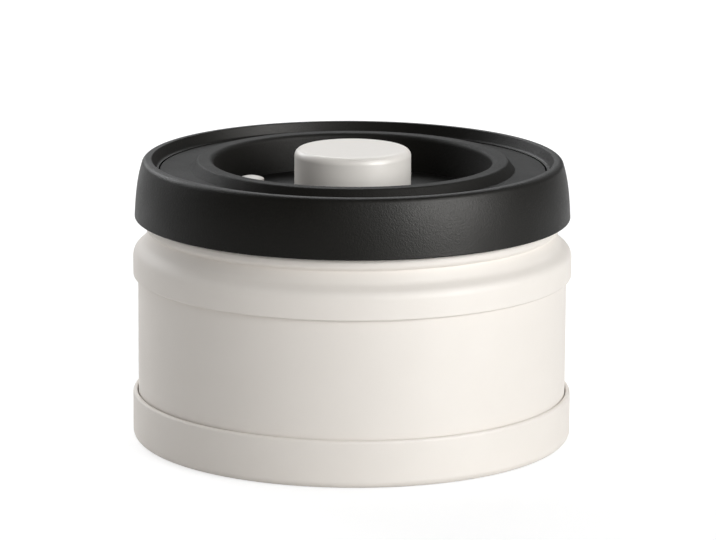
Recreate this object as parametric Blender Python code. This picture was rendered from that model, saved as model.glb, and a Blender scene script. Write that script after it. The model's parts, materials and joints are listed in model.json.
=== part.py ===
"""Vacuum coffee canister: a coated steel can with a lift-off lid that holds a hand pump and an air release.

Metres, +Z up. The origin is the centre of the underside, and the front faces -Y. Every height is a world height.
"""
import math

import bmesh
import bpy
from mathutils import Vector

# Clearances
SEAT_GAP = 0.0003          # between pieces that rest on or hold each other
SLIDE_GAP = 0.00035        # round a button in its hole
MERGE_DISTANCE = 0.00001   # points closer than this are one
CUT_OVERRUN = 0.0010       # how far a cutter passes the surface that it opens
JOIN_DEPTH = 0.0005        # how far a boss reaches into the wall that carries it

# Sides of the round pieces
SHELL_SIDES = 40
INSIDE_SIDES = 30
BUTTON_SIDES = 32
PUMP_SIDES = 24
SMALL_SIDES = 12
HOLE_SIDES = 8

# Can: tube, base cap, non-slip pad
CAN_RADIUS = 0.0590        # outside of the tube
TUBE_WALL = 0.0010
CAN_HEIGHT = 0.0614        # top of the mouth's bead
CAP_WALL = 0.0012
CAP_HEIGHT = 0.0131
CAP_FLOOR = 0.0024
FOOT_FILLET = 0.0020
CAP_FILLET = 0.0009
FOOT_WIDTH = 0.0085        # ring that the cap stands on, round the pad
PAD_RECESS = 0.0012

# Top collar: a plain band, then a shoulder with one knee, then the neck and the thick bead round the mouth
COLLAR_WALL = 0.0011
BAND_HEIGHT = 0.0071
SHOULDER_HEIGHT = 0.0054
SHOULDER_KNEE_SHARES = (0.340, 0.519)   # of the shoulder's reach inwards and of its height
CREST_FILLET = 0.0022
KNEE_FILLET = 0.0050
NECK_WALL = 0.0010
NECK_GROOVE = 0.0004       # height of the groove between the shoulder and the bead
BEAD_WIDTH = 0.0023
BEAD_HEIGHT = 0.0032
BEAD_OUTER_FILLET = 0.0012
BEAD_INNER_FILLET = 0.0008

# Inner cup of thin steel
CUP_WALL = 0.0008
AIR_SPACE = 0.0036         # between the tube and the cup
CUP_CORNER = 0.0060
CUP_CORNER_STEPS = 3
CUP_LIP_DROP = 0.0009      # the cup's edge below the top of the bead

# Lid: rim with its skirt, top with trough, ring and well
LID_OVERHANG = 0.00090     # how far the skirt's lower edge stands outside the tube
LID_TAPER = 0.0024         # how far the skirt draws in towards the rim
SKIRT_BEND_SHARE = 0.67    # of the taper that comes with the height's third power, so mostly near the rim
LID_HEIGHT = 0.0158
SKIRT_WALL = 0.0022
SKIRT_FILLET = 0.0003
SKIRT_STEPS = 3
LID_WALL = 0.0020
RIM_WIDTH = 0.00710        # from the skirt's lower edge in to the foot of the rim's inner wall
TROUGH_DEPTH = 0.0032
RIM_LEAN = 0.0018
RIM_OUTER_FILLET = 0.0009
RIM_INNER_FILLET = 0.0006
LEDGE_REACH = 0.0028       # the rim's ledge, which carries the lid top
RING_WIDTH = 0.00615       # at its foot, with the well's wall
RING_LEAN = 0.00195
RING_HEIGHT = 0.0031
RING_FILLET = 0.0007
WELL_SHARE = 0.402         # of the floor outside the vent that lies in the well, and not in the trough
WELL_DEPTH = 0.0099

# Lid plug, which goes down into the mouth, with its gasket
PLUG_CLEARANCE = 0.0024    # between the plug's wall and the cup
PLUG_DEPTH = 0.0157
PLUG_WALL = 0.0018
PLUG_FILLET = 0.0020
FLANGE_THICKNESS = 0.0020
RIB_REACH = 0.0014
RIB_THICKNESS = 0.0012
RIB_DROP = 0.0031          # from the flange's underside to the upper rib
GASKET_HEIGHT = 0.0042
GASKET_BACK = 0.0010
GASKET_LIP_SHARES = (0.12, 0.30, 0.46, 0.60, 0.78, 0.94)   # heights of each lip's foot, tip and foot

# Screws from below, through the plug's posts into the lid top's bosses
SCREW_COUNT = 4
POST_SPACE = 0.0008        # between a post and the plug's wall
SCREW_TURN = math.radians(45)
SCREW_RADIUS = 0.0011
SCREW_LENGTH = 0.0120
SCREW_HEAD_RADIUS = 0.0021
SCREW_HEAD_HEIGHT = 0.0016
SCREW_HEAD_DOME = 0.0005
BOSS_RADIUS = 0.0026
POST_RADIUS = 0.0030
POST_HEIGHT = 0.0080       # above the plug's plate
HEAD_RECESS = 0.0040       # how deep the screw heads sit in the posts
PILOT_SPARE = 0.0010       # blind length past the screw's tip

# Pump button and piston
BUTTON_RADIUS = 0.0160
BUTTON_RISE = 0.0129       # above the well's floor
BUTTON_WALL = 0.0018
BUTTON_TOP_THICKNESS = 0.0022
BUTTON_FILLET = 0.0009
BREATHER_WIDTH = 0.0030
BREATHER_HEIGHT = 0.0011
BORE_STEP = 0.0018         # how far the bore stands outside the button
PISTON_CLEARANCE = 0.0005
PISTON_HEIGHT = 0.0046
PISTON_RIM = 0.0012        # thickness of the two rims beside the seal
PISTON_WEB = 0.0018
SEAL_DEPTH = 0.0021
SEAL_NECK_SHARE = 0.45     # of the seal's width that the notch between its lips leaves
COLLAR_RISE = 0.0048       # the piston's snap collar, inside the button
SNAP_WALL = 0.0014
TOWER_SPACE = 0.0012       # between the tower and the spring in it
TOWER_WALL = 0.0016
TOWER_RISE = 0.0078
TOWER_FILLET = 0.0008

# Pump cylinder, its washer and the filter in its spigot
CYLINDER_WALL = 0.0016
CYLINDER_FLANGE_REACH = 0.0034
CYLINDER_FLANGE = 0.0018
CYLINDER_FLOOR = 0.0020
SPIGOT_RADIUS = 0.0100
SPIGOT_WALL = 0.0015
SPIGOT_RISE = 0.0014       # how far the spigot stands out below the plug
WASHER_WIDTH = 0.0047
WASHER_THICKNESS = 0.0010
FILTER_THICKNESS = 0.0006
FILTER_STEP = 0.0006       # the filter's seat is this much wider than the spigot's bore
FILTER_HOLE_RADIUS = 0.0008
FILTER_RING_HOLES = (4, 9)
FILTER_RING_SHARES = (0.26, 0.66)   # of the spigot's bore, each ring of holes
FILTER_HOLE_SIDES = 6

# Umbrella valves of the pump: one lets air in from the can, one lets it out under the button
UMBRELLA_RADIUS = 0.0048
UMBRELLA_EDGE = 0.0005
UMBRELLA_CROWN = 0.0012
UMBRELLA_HOLLOW = 0.0003
VALVE_STEM_RADIUS = 0.0010
VALVE_BULB_RADIUS = 0.0017
VALVE_BULB_HEIGHT = 0.0014
PORT_RADIUS = 0.0007
PORT_CIRCLE = 0.0031
PORT_COUNT = 5

# Air release: button, stem and seal
VENT_TURN = math.radians(163.8)
VENT_SPACE = 0.0016        # between the vent's flange and the cylinder's
VENT_RADIUS = 0.0034
VENT_RISE = 0.00355
VENT_DOME = 0.0008
VENT_DOME_STEPS = 4
VENT_FLANGE_REACH = 0.0014
VENT_FLANGE = 0.0012
VENT_STEM_RADIUS = 0.00105
VENT_STEM_HEAD_REACH = 0.0011
VENT_STEM_HEAD = 0.0008
VENT_SOCKET_DEPTH = 0.0035
VENT_TUBE_WALL = 0.0018
VENT_TUBE_HEIGHT = 0.0080
VENT_SEAL_REACH = 0.0022
VENT_SEAL_THICKNESS = 0.0015
VENT_SEAL_CHAMFER = 0.0004

# Springs: the space inside them, wire radius, turns, points in a turn
PUMP_SPRING_SPACE = 0.0006   # between the spring and the valve in it
PUMP_SPRING_WIRE = 0.0006
PUMP_SPRING_TURNS = 7
VENT_SPRING_SPACE = 0.0013   # between the spring and the stem in it
VENT_SPRING_WIRE = 0.00025
VENT_SPRING_TURNS = 5
SPRING_TURN_POINTS = 8
END_TURN_SPACE = 0.0005    # between the wires of the close turns at a spring's ends

# Levels that several pieces share
cap_radius = CAN_RADIUS + SEAT_GAP + CAP_WALL
pad_recess_radius = cap_radius - FOOT_WIDTH
collar_radius = CAN_RADIUS + SEAT_GAP + COLLAR_WALL
cup_outer = CAN_RADIUS - TUBE_WALL - AIR_SPACE
cup_inner = cup_outer - CUP_WALL
neck_bore = cup_outer + SEAT_GAP
bead_low = CAN_HEIGHT - BEAD_HEIGHT
neck_top = bead_low - NECK_GROOVE
crest = neck_top - SHOULDER_HEIGHT
lid_radius = CAN_RADIUS + LID_OVERHANG
trough_radius = lid_radius - RIM_WIDTH
bore_radius = BUTTON_RADIUS + BORE_STEP
cylinder_outer = bore_radius + CYLINDER_WALL
cylinder_flange = cylinder_outer + CYLINDER_FLANGE_REACH
vent_flange = VENT_RADIUS + VENT_FLANGE_REACH
vent_circle = cylinder_flange + VENT_SPACE + vent_flange
vent_place = (vent_circle * math.cos(VENT_TURN), vent_circle * math.sin(VENT_TURN))
vent_edge = vent_circle + VENT_RADIUS
well_radius = vent_edge + WELL_SHARE * (trough_radius - RING_WIDTH - vent_edge)
ring_foot_radius = well_radius + RING_WIDTH
lid_bottom = CAN_HEIGHT + SEAT_GAP
rim_top = lid_bottom + LID_HEIGHT
trough_floor = rim_top - TROUGH_DEPTH
ring_top = trough_floor + RING_HEIGHT
well_floor = ring_top - WELL_DEPTH
well_underside = well_floor - LID_WALL
flange_top = lid_bottom + FLANGE_THICKNESS
plug_radius = cup_inner - PLUG_CLEARANCE
screw_circle = plug_radius - PLUG_WALL - POST_SPACE - POST_RADIUS
plug_bottom = lid_bottom - PLUG_DEPTH
plate_top = plug_bottom + LID_WALL
post_top = plate_top + POST_HEIGHT
upper_rib = lid_bottom - RIB_DROP
groove_top = upper_rib - RIB_THICKNESS
groove_bottom = groove_top - GASKET_HEIGHT - 2 * SEAT_GAP
piston_top = well_underside - SEAT_GAP
piston_bottom = piston_top - PISTON_HEIGHT
button_top = well_floor + BUTTON_RISE
button_bore = BUTTON_RADIUS - BUTTON_WALL
pump_spring_radius = UMBRELLA_RADIUS + PUMP_SPRING_SPACE + PUMP_SPRING_WIRE
vent_spring_radius = VENT_STEM_RADIUS + VENT_SPRING_SPACE + VENT_SPRING_WIRE
tower_bore = pump_spring_radius + PUMP_SPRING_WIRE + TOWER_SPACE
tower_radius = tower_bore + TOWER_WALL
tower_top = piston_top + TOWER_RISE
tower_ceiling = tower_top - TOWER_WALL
cylinder_bottom = plate_top + WASHER_THICKNESS + 2 * SEAT_GAP
cylinder_floor = cylinder_bottom + CYLINDER_FLOOR
spigot_bottom = plug_bottom - SPIGOT_RISE
spigot_bore = SPIGOT_RADIUS - SPIGOT_WALL
filter_seat = spigot_bottom + FILTER_THICKNESS + 2 * SEAT_GAP
vent_flange_top = well_underside - SEAT_GAP
vent_flange_bottom = vent_flange_top - VENT_FLANGE
vent_tube_top = plate_top + VENT_TUBE_HEIGHT
vent_seal_top = plug_bottom - SEAT_GAP
vent_seal_bottom = vent_seal_top - VENT_SEAL_THICKNESS


def material(name, colour, roughness, metallic=0.0):
    """A Principled material of one colour."""
    made = bpy.data.materials.new(name)
    made.use_nodes = True
    shader = made.node_tree.nodes["Principled BSDF"]
    shader.inputs["Base Color"].default_value = (*colour, 1.0)
    shader.inputs["Roughness"].default_value = roughness
    shader.inputs["Metallic"].default_value = metallic
    return made


def rounded(corners, steps=2):
    """Points of an outline of (radius, height, fillet) corners, with each fillet as an arc of a few steps."""
    points = []
    for index, (radius, height, fillet) in enumerate(corners):
        here = Vector((radius, height))
        if fillet <= 0:
            points.append((radius, height))
            continue
        back = (Vector(corners[index - 1][:2]) - here).normalized()
        ahead = (Vector(corners[(index + 1) % len(corners)][:2]) - here).normalized()
        half = back.angle(ahead) / 2
        centre = here + (back + ahead).normalized() * (fillet / math.sin(half))
        start = here + back * (fillet / math.tan(half)) - centre
        end = here + ahead * (fillet / math.tan(half)) - centre
        first = math.atan2(start.y, start.x)
        sweep = (math.atan2(end.y, end.x) - first + math.pi) % (2 * math.pi) - math.pi
        for step in range(steps + 1):
            angle = first + sweep * step / steps
            points.append((centre.x + fillet * math.cos(angle), centre.y + fillet * math.sin(angle)))
    return points


def sheet(corners, wall):
    """Closed corners of a sheet: the given line, then the line moved to its left by the wall, run back.

    A negative wall moves it to the right. A bend keeps one centre, so its fillets differ by the wall.
    """
    other_side = []
    for index, (radius, height, fillet) in enumerate(corners):
        here = Vector((radius, height))
        before = Vector(corners[max(index - 1, 0)][:2])
        after = Vector(corners[min(index + 1, len(corners) - 1)][:2])
        arriving = (here - before).normalized() if index > 0 else (after - here).normalized()
        leaving = (after - here).normalized() if index < len(corners) - 1 else arriving
        turn = arriving.x * leaving.y - arriving.y * leaving.x
        mitre = Vector((-arriving.y - leaving.y, arriving.x + leaving.x)).normalized()
        reach = wall / mitre.dot(Vector((-leaving.y, leaving.x)))
        inner_fillet = max(fillet - math.copysign(wall, turn * wall), 0) if fillet > 0 else 0
        is_end = index in (0, len(corners) - 1)
        other_side.append((*(here + mitre * reach), 0 if is_end else inner_fillet))
    return list(corners) + other_side[::-1]


def add_turned(shape, outline, sides, place=(0, 0)):
    """Spins a closed outline of (radius, height) points about a vertical axis, into a bmesh.

    An outline that starts and ends on the axis makes a solid piece, and any other one a ring.
    """
    solid = outline[0][0] <= 0
    dots = [shape.verts.new((radius, 0, height)) for radius, height in outline]
    edges = [shape.edges.new(pair) for pair in zip(dots, dots[1:])]
    if not solid:
        edges.append(shape.edges.new((dots[-1], dots[0])))
    before = set(shape.verts) - set(dots)
    bmesh.ops.spin(shape, geom=dots + edges, cent=(0, 0, 0), axis=(0, 0, 1), angle=2 * math.pi, steps=sides,
                   use_merge=True)
    turned = [vert for vert in shape.verts if vert not in before]
    bmesh.ops.remove_doubles(shape, verts=turned, dist=MERGE_DISTANCE)
    turned = [vert for vert in shape.verts if vert not in before]
    bmesh.ops.translate(shape, verts=turned, vec=(place[0], place[1], 0))


def placed(name, shape, finish, parent):
    """Makes an object of a bmesh, with smooth rounds, and hangs it on its parent."""
    bmesh.ops.recalc_face_normals(shape, faces=shape.faces)
    mesh = bpy.data.meshes.new(name)
    shape.to_mesh(mesh)
    shape.free()
    mesh.shade_smooth()
    mesh.set_sharp_from_angle(angle=math.radians(32))
    if finish:
        mesh.materials.append(finish)
    made = bpy.data.objects.new(name, mesh)
    bpy.context.collection.objects.link(made)
    made.parent = parent
    return made


def turned_piece(name, outline, sides, finish, parent, places=((0, 0),)):
    """One object with the turned outline at each place."""
    shape = bmesh.new()
    for place in places:
        add_turned(shape, outline, sides, place)
    return placed(name, shape, finish, parent)


def tool(target, operation, outline, sides, places):
    """Joins turned shapes to a piece, or cuts them out of it."""
    number = len(target.modifiers)
    helper = turned_piece(f"{target.name}_{operation.lower()}_{number}", outline, sides, None, target.parent, places)
    apply_tool(target, operation, helper)


def apply_tool(target, operation, helper):
    """Adds an exact Boolean to a piece, whose other shape stays as a hidden guide."""
    helper.hide_render = True
    helper.display_type = "WIRE"
    change = target.modifiers.new(helper.name, "BOOLEAN")
    change.operation = operation
    change.solver = "EXACT"
    change.object = helper


def rod(radius, low, high):
    """Outline of a plain round bar."""
    return [(0, low), (radius, low), (radius, high), (0, high)]


def circle_places(count, radius, turn=0.0, centre=(0, 0)):
    """Evenly spaced places round a circle."""
    angles = [turn + 2 * math.pi * index / count for index in range(count)]
    return [(centre[0] + radius * math.cos(angle), centre[1] + radius * math.sin(angle)) for angle in angles]


def empty(name, place=(0, 0), parent=None):
    """An empty on a body's axis."""
    made = bpy.data.objects.new(name, None)
    made.location = (place[0], place[1], 0)
    made.parent = parent
    bpy.context.collection.objects.link(made)
    return made


# Can

def build_body_tube(finish, parent):
    """Straight coated tube between the base cap and the collar."""
    low = CAP_FLOOR + SEAT_GAP
    high = crest - COLLAR_WALL
    inner = CAN_RADIUS - TUBE_WALL
    outline = [(CAN_RADIUS, low), (CAN_RADIUS, high), (inner, high), (inner, low)]
    turned_piece("body_tube", outline, SHELL_SIDES, finish, parent)


def build_base_cap(finish, parent):
    """Cup that closes the tube's lower end: a rounded foot, a recess for the pad, and a wall outside the tube."""
    bore = CAN_RADIUS + SEAT_GAP
    corners = [
        (0, PAD_RECESS, 0), (pad_recess_radius, PAD_RECESS, 0), (pad_recess_radius, 0, 0),
        (cap_radius, 0, FOOT_FILLET), (cap_radius, CAP_HEIGHT, CAP_FILLET), (bore, CAP_HEIGHT, 0),
        (bore, CAP_FLOOR, 0), (0, CAP_FLOOR, 0),
    ]
    turned_piece("base_cap", rounded(corners), SHELL_SIDES, finish, parent)


def build_base_pad(finish, parent):
    """Soft disc in the cap's recess, level with its foot."""
    edge = pad_recess_radius - SEAT_GAP
    turned_piece("base_pad", rod(edge, 0, PAD_RECESS - SEAT_GAP), INSIDE_SIDES, finish, parent)


def build_top_collar(finish, parent):
    """Band and shoulder of one sheet, which ends above a narrow groove in the thick bead round the mouth."""
    neck = neck_bore + NECK_WALL
    bead = neck_bore + BEAD_WIDTH
    reach = collar_radius - neck
    knee_radius = collar_radius - SHOULDER_KNEE_SHARES[0] * reach
    knee_height = crest + SHOULDER_KNEE_SHARES[1] * SHOULDER_HEIGHT
    shoulder = [
        (collar_radius, crest - BAND_HEIGHT, 0), (collar_radius, crest, CREST_FILLET),
        (knee_radius, knee_height, KNEE_FILLET), (neck, neck_top, 0),
    ]
    inside = [(radius, height, 0) for radius, height, fillet in sheet(shoulder, COLLAR_WALL)[len(shoulder):]]
    slope = (neck_top - knee_height) / (knee_radius - neck)
    inner_foot = inside[0][1] + slope * (inside[0][0] - neck_bore)
    bead_corners = [
        (neck, bead_low, 0), (bead, bead_low, BEAD_OUTER_FILLET), (bead, CAN_HEIGHT, BEAD_OUTER_FILLET),
        (neck_bore, CAN_HEIGHT, BEAD_INNER_FILLET), (neck_bore, inner_foot, 0),
    ]
    turned_piece("top_collar", rounded(shoulder + bead_corners + inside[1:]), SHELL_SIDES, finish, parent)


def build_inner_cup(finish, parent):
    """Drawn cup of thin sheet that stands on the base cap and ends just below the top of the bead."""
    floor = CAP_FLOOR + SEAT_GAP + CUP_WALL
    inside = [(0, floor, 0), (cup_inner, floor, CUP_CORNER), (cup_inner, CAN_HEIGHT - CUP_LIP_DROP, 0)]
    outline = rounded(sheet(inside, -CUP_WALL), steps=CUP_CORNER_STEPS)
    turned_piece("inner_cup", outline, INSIDE_SIDES, finish, parent)


# Lid

def skirt_radius(height):
    """Outside of the lid: it draws in slowly above its lower edge and faster towards the rim."""
    rise = (height - lid_bottom) / LID_HEIGHT
    bent = (1 - SKIRT_BEND_SHARE) * rise + SKIRT_BEND_SHARE * rise ** 3
    return lid_radius - LID_TAPER * bent


def build_lid_rim(finish, parent):
    """Skirt, rounded rim and sloping inner wall, hollow from below, with a ledge for the lid top."""
    ledge_top = trough_floor - LID_WALL - SEAT_GAP
    hollow_top = rim_top - LID_WALL
    wall_outer = trough_radius + LID_WALL
    skirt_inner = lid_radius - SKIRT_WALL
    corners = [(skirt_inner, lid_bottom, 0), (lid_radius, lid_bottom, SKIRT_FILLET)]
    for step in range(1, SKIRT_STEPS):
        height = lid_bottom + LID_HEIGHT * step / SKIRT_STEPS
        corners.append((skirt_radius(height), height, 0))
    corners += [
        (skirt_radius(rim_top), rim_top, RIM_OUTER_FILLET),
        (trough_radius + RIM_LEAN, rim_top, RIM_INNER_FILLET),
        (trough_radius, trough_floor, 0), (trough_radius, ledge_top, 0),
        (trough_radius - LEDGE_REACH, ledge_top, 0), (trough_radius - LEDGE_REACH, ledge_top - LID_WALL, 0),
        (trough_radius, ledge_top - LID_WALL, 0), (trough_radius, flange_top + SEAT_GAP, 0),
        (wall_outer, flange_top + SEAT_GAP, 0), (wall_outer, hollow_top, 0),
        (skirt_radius(hollow_top) - SKIRT_WALL, hollow_top, 0), (skirt_inner, flange_top + SEAT_GAP, 0),
    ]
    turned_piece("lid_rim", rounded(corners), SHELL_SIDES, finish, parent)


def build_lid_top(finish, parent):
    """Trough, raised ring and well in one moulding of even wall, with screw bosses underneath."""
    underside = trough_floor - LID_WALL
    well_outer = well_radius + LID_WALL
    ring_outer = ring_foot_radius - RING_LEAN
    corners = [
        (trough_radius - SEAT_GAP, underside, 0), (trough_radius - SEAT_GAP, trough_floor, 0),
        (ring_foot_radius, trough_floor, 0), (ring_outer, ring_top, RING_FILLET),
        (well_radius, ring_top, RING_FILLET), (well_radius, well_floor, 0),
        (BUTTON_RADIUS + SLIDE_GAP, well_floor, 0), (BUTTON_RADIUS + SLIDE_GAP, well_underside, 0),
        (well_outer, well_underside, 0), (well_outer, ring_top - LID_WALL, 0),
        (ring_outer - LID_WALL / 2, ring_top - LID_WALL, 0), (ring_foot_radius - LID_WALL, underside, 0),
    ]
    lid_top = turned_piece("lid_top", rounded(corners), SHELL_SIDES, finish, parent)
    places = circle_places(SCREW_COUNT, screw_circle, SCREW_TURN)
    boss_bottom = post_top + SEAT_GAP
    screw_tip = plug_bottom + HEAD_RECESS - SEAT_GAP + SCREW_LENGTH
    tool(lid_top, "UNION", rod(BOSS_RADIUS, boss_bottom, underside + JOIN_DEPTH), SMALL_SIDES, places)
    pilot = rod(SCREW_RADIUS + SEAT_GAP, boss_bottom - CUT_OVERRUN, screw_tip + PILOT_SPARE)
    tool(lid_top, "DIFFERENCE", pilot, HOLE_SIDES, places)
    vent_hole = rod(VENT_RADIUS + SLIDE_GAP, well_underside - CUT_OVERRUN, well_floor + CUT_OVERRUN)
    tool(lid_top, "DIFFERENCE", vent_hole, SMALL_SIDES, [vent_place])


def build_lid_plug(finish, parent):
    """Flanged cup that closes the lid below, with two ribs for the gasket, screw posts and the vent's tube."""
    flange_radius = lid_radius - SKIRT_WALL - SEAT_GAP
    rib_radius = plug_radius + RIB_REACH
    inner = plug_radius - PLUG_WALL
    spigot_hole = SPIGOT_RADIUS + SEAT_GAP
    corners = [
        (flange_radius, flange_top, 0), (flange_radius, lid_bottom, 0), (plug_radius, lid_bottom, 0),
        (plug_radius, upper_rib, 0), (rib_radius, upper_rib, 0), (rib_radius, groove_top, 0),
        (plug_radius, groove_top, 0), (plug_radius, groove_bottom, 0), (rib_radius, groove_bottom, 0),
        (rib_radius, groove_bottom - RIB_THICKNESS, 0), (plug_radius, groove_bottom - RIB_THICKNESS, 0),
        (plug_radius, plug_bottom, PLUG_FILLET), (spigot_hole, plug_bottom, 0), (spigot_hole, plate_top, 0),
        (inner, plate_top, 0), (inner, flange_top, 0),
    ]
    lid_plug = turned_piece("lid_plug", rounded(corners), INSIDE_SIDES, finish, parent)
    places = circle_places(SCREW_COUNT, screw_circle, SCREW_TURN)
    tool(lid_plug, "UNION", rod(POST_RADIUS, plate_top - JOIN_DEPTH, post_top), SMALL_SIDES, places)
    tube = rod(VENT_STEM_RADIUS + SLIDE_GAP + VENT_TUBE_WALL, plate_top - JOIN_DEPTH, vent_tube_top)
    tool(lid_plug, "UNION", tube, SMALL_SIDES, [vent_place])
    head_seat = plug_bottom + HEAD_RECESS
    head_hole = SCREW_HEAD_RADIUS + SEAT_GAP
    screw_hole = SCREW_RADIUS + SEAT_GAP
    stepped = [
        (0, plug_bottom - CUT_OVERRUN), (head_hole, plug_bottom - CUT_OVERRUN), (head_hole, head_seat),
        (screw_hole, head_seat), (screw_hole, post_top + CUT_OVERRUN), (0, post_top + CUT_OVERRUN),
    ]
    tool(lid_plug, "DIFFERENCE", stepped, HOLE_SIDES, places)
    vent_bore = rod(VENT_STEM_RADIUS + SLIDE_GAP, plug_bottom - CUT_OVERRUN, vent_tube_top + CUT_OVERRUN)
    tool(lid_plug, "DIFFERENCE", vent_bore, HOLE_SIDES, [vent_place])


def build_lid_gasket(finish, parent):
    """Soft ring between the plug's ribs, with two lips that wipe the cup's wall."""
    back = plug_radius + SEAT_GAP
    body = back + GASKET_BACK
    tip = cup_inner - SEAT_GAP
    low = groove_bottom + SEAT_GAP
    levels = [low + share * GASKET_HEIGHT for share in GASKET_LIP_SHARES]
    outline = [(back, low), (body, low)]
    for foot, point, end in (levels[:3], levels[3:]):
        outline += [(body, foot), (tip, point), (body, end)]
    outline += [(body, low + GASKET_HEIGHT), (back, low + GASKET_HEIGHT)]
    turned_piece("lid_gasket", outline, INSIDE_SIDES, finish, parent)


def build_lid_screws(finish, parent):
    """Low-domed screws whose heads sit deep in the plug's posts."""
    seat = plug_bottom + HEAD_RECESS - SEAT_GAP
    head = seat - SCREW_HEAD_HEIGHT
    outline = [
        (0, head), (SCREW_HEAD_RADIUS / 2, head), (SCREW_HEAD_RADIUS, head + SCREW_HEAD_DOME),
        (SCREW_HEAD_RADIUS, seat), (SCREW_RADIUS, seat), (SCREW_RADIUS, seat + SCREW_LENGTH),
        (0, seat + SCREW_LENGTH),
    ]
    first = turned_piece("lid_screw_1", outline, HOLE_SIDES, finish, parent)
    screws = [first]
    for number in range(2, SCREW_COUNT + 1):
        copy = bpy.data.objects.new(f"lid_screw_{number}", first.data)
        bpy.context.collection.objects.link(copy)
        copy.parent = parent
        screws.append(copy)
    for screw, place in zip(screws, circle_places(SCREW_COUNT, screw_circle, SCREW_TURN)):
        screw.location = (*place, 0)


# Pump

def umbrella_outline(seat, wall):
    """Umbrella valve over a wall: a thin crowned cap above it, a stem through it and a bulb below."""
    low = seat + SEAT_GAP
    bulb = seat - wall - SEAT_GAP
    return [
        (0, low + UMBRELLA_CROWN), (UMBRELLA_RADIUS / 2, low + (UMBRELLA_CROWN + UMBRELLA_EDGE) / 2),
        (UMBRELLA_RADIUS, low + UMBRELLA_EDGE), (UMBRELLA_RADIUS, low), (VALVE_STEM_RADIUS, low + UMBRELLA_HOLLOW),
        (VALVE_STEM_RADIUS, bulb), (VALVE_BULB_RADIUS, bulb), (VALVE_STEM_RADIUS, bulb - VALVE_BULB_HEIGHT),
        (0, bulb - VALVE_BULB_HEIGHT),
    ]


def cut_ports(target, seat, wall):
    """Holes for a valve's stem and for the air that its cap covers."""
    stem = rod(VALVE_STEM_RADIUS + SEAT_GAP, seat - wall - CUT_OVERRUN, seat + CUT_OVERRUN)
    tool(target, "DIFFERENCE", stem, HOLE_SIDES, [(0, 0)])
    port = rod(PORT_RADIUS, seat - wall - CUT_OVERRUN, seat + CUT_OVERRUN)
    tool(target, "DIFFERENCE", port, HOLE_SIDES, circle_places(PORT_COUNT, PORT_CIRCLE))


def build_pump_cylinder(finish, parent):
    """Cylinder with a flange under the well and a spigot through the plug."""
    corners = [
        (0, cylinder_floor, 0), (bore_radius, cylinder_floor, 0), (bore_radius, piston_top, 0),
        (cylinder_flange, piston_top, 0), (cylinder_flange, piston_top - CYLINDER_FLANGE, 0),
        (cylinder_outer, piston_top - CYLINDER_FLANGE, 0), (cylinder_outer, cylinder_bottom, 0),
        (SPIGOT_RADIUS, cylinder_bottom, 0), (SPIGOT_RADIUS, spigot_bottom, 0),
        (spigot_bore + FILTER_STEP, spigot_bottom, 0), (spigot_bore + FILTER_STEP, filter_seat, 0),
        (spigot_bore, filter_seat, 0), (spigot_bore, cylinder_bottom, 0), (0, cylinder_bottom, 0),
    ]
    cylinder = turned_piece("pump_cylinder", rounded(corners), PUMP_SIDES, finish, parent)
    cut_ports(cylinder, cylinder_floor, CYLINDER_FLOOR)


def build_cylinder_washer(finish, parent):
    """Flat seal between the cylinder's floor and the plug's plate."""
    inner = SPIGOT_RADIUS + SEAT_GAP
    low = plate_top + SEAT_GAP
    high = low + WASHER_THICKNESS
    outer = inner + WASHER_WIDTH
    outline = [(outer, low), (outer, high), (inner, high), (inner, low)]
    turned_piece("cylinder_washer", outline, PUMP_SIDES, finish, parent)


def build_filter_screen(finish, parent):
    """Pierced disc in the spigot's mouth, which keeps grounds out of the pump."""
    low = spigot_bottom + SEAT_GAP
    radius = spigot_bore + FILTER_STEP - SEAT_GAP
    screen = turned_piece("filter_screen", rod(radius, low, low + FILTER_THICKNESS), PUMP_SIDES, finish, parent)
    rings = zip(FILTER_RING_HOLES, FILTER_RING_SHARES)
    places = [place for count, share in rings for place in circle_places(count, share * spigot_bore)]
    hole = rod(FILTER_HOLE_RADIUS, low - CUT_OVERRUN, low + FILTER_THICKNESS + CUT_OVERRUN)
    tool(screen, "DIFFERENCE", hole, FILTER_HOLE_SIDES, places)


def build_pump_button(finish, parent):
    """Hollow cap with a rounded top edge and breather notches in its lower edge."""
    low = piston_top + SEAT_GAP
    corners = [
        (0, button_top, 0), (BUTTON_RADIUS, button_top, BUTTON_FILLET), (BUTTON_RADIUS, low, 0),
        (button_bore, low, 0), (button_bore, button_top - BUTTON_TOP_THICKNESS, 0),
        (0, button_top - BUTTON_TOP_THICKNESS, 0),
    ]
    button = turned_piece("pump_button", rounded(corners, steps=3), BUTTON_SIDES, finish, parent)
    length = 2 * BUTTON_RADIUS + 2 * CUT_OVERRUN
    height = BREATHER_HEIGHT + CUT_OVERRUN
    for name, size in (("across", (length, BREATHER_WIDTH)), ("along", (BREATHER_WIDTH, length))):
        shape = bmesh.new()
        bmesh.ops.create_cube(shape, size=1)
        bmesh.ops.scale(shape, vec=(*size, height), verts=shape.verts)
        bmesh.ops.translate(shape, vec=(0, 0, low + BREATHER_HEIGHT - height / 2), verts=shape.verts)
        apply_tool(button, "DIFFERENCE", placed(f"pump_button_breather_{name}", shape, None, parent))


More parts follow.
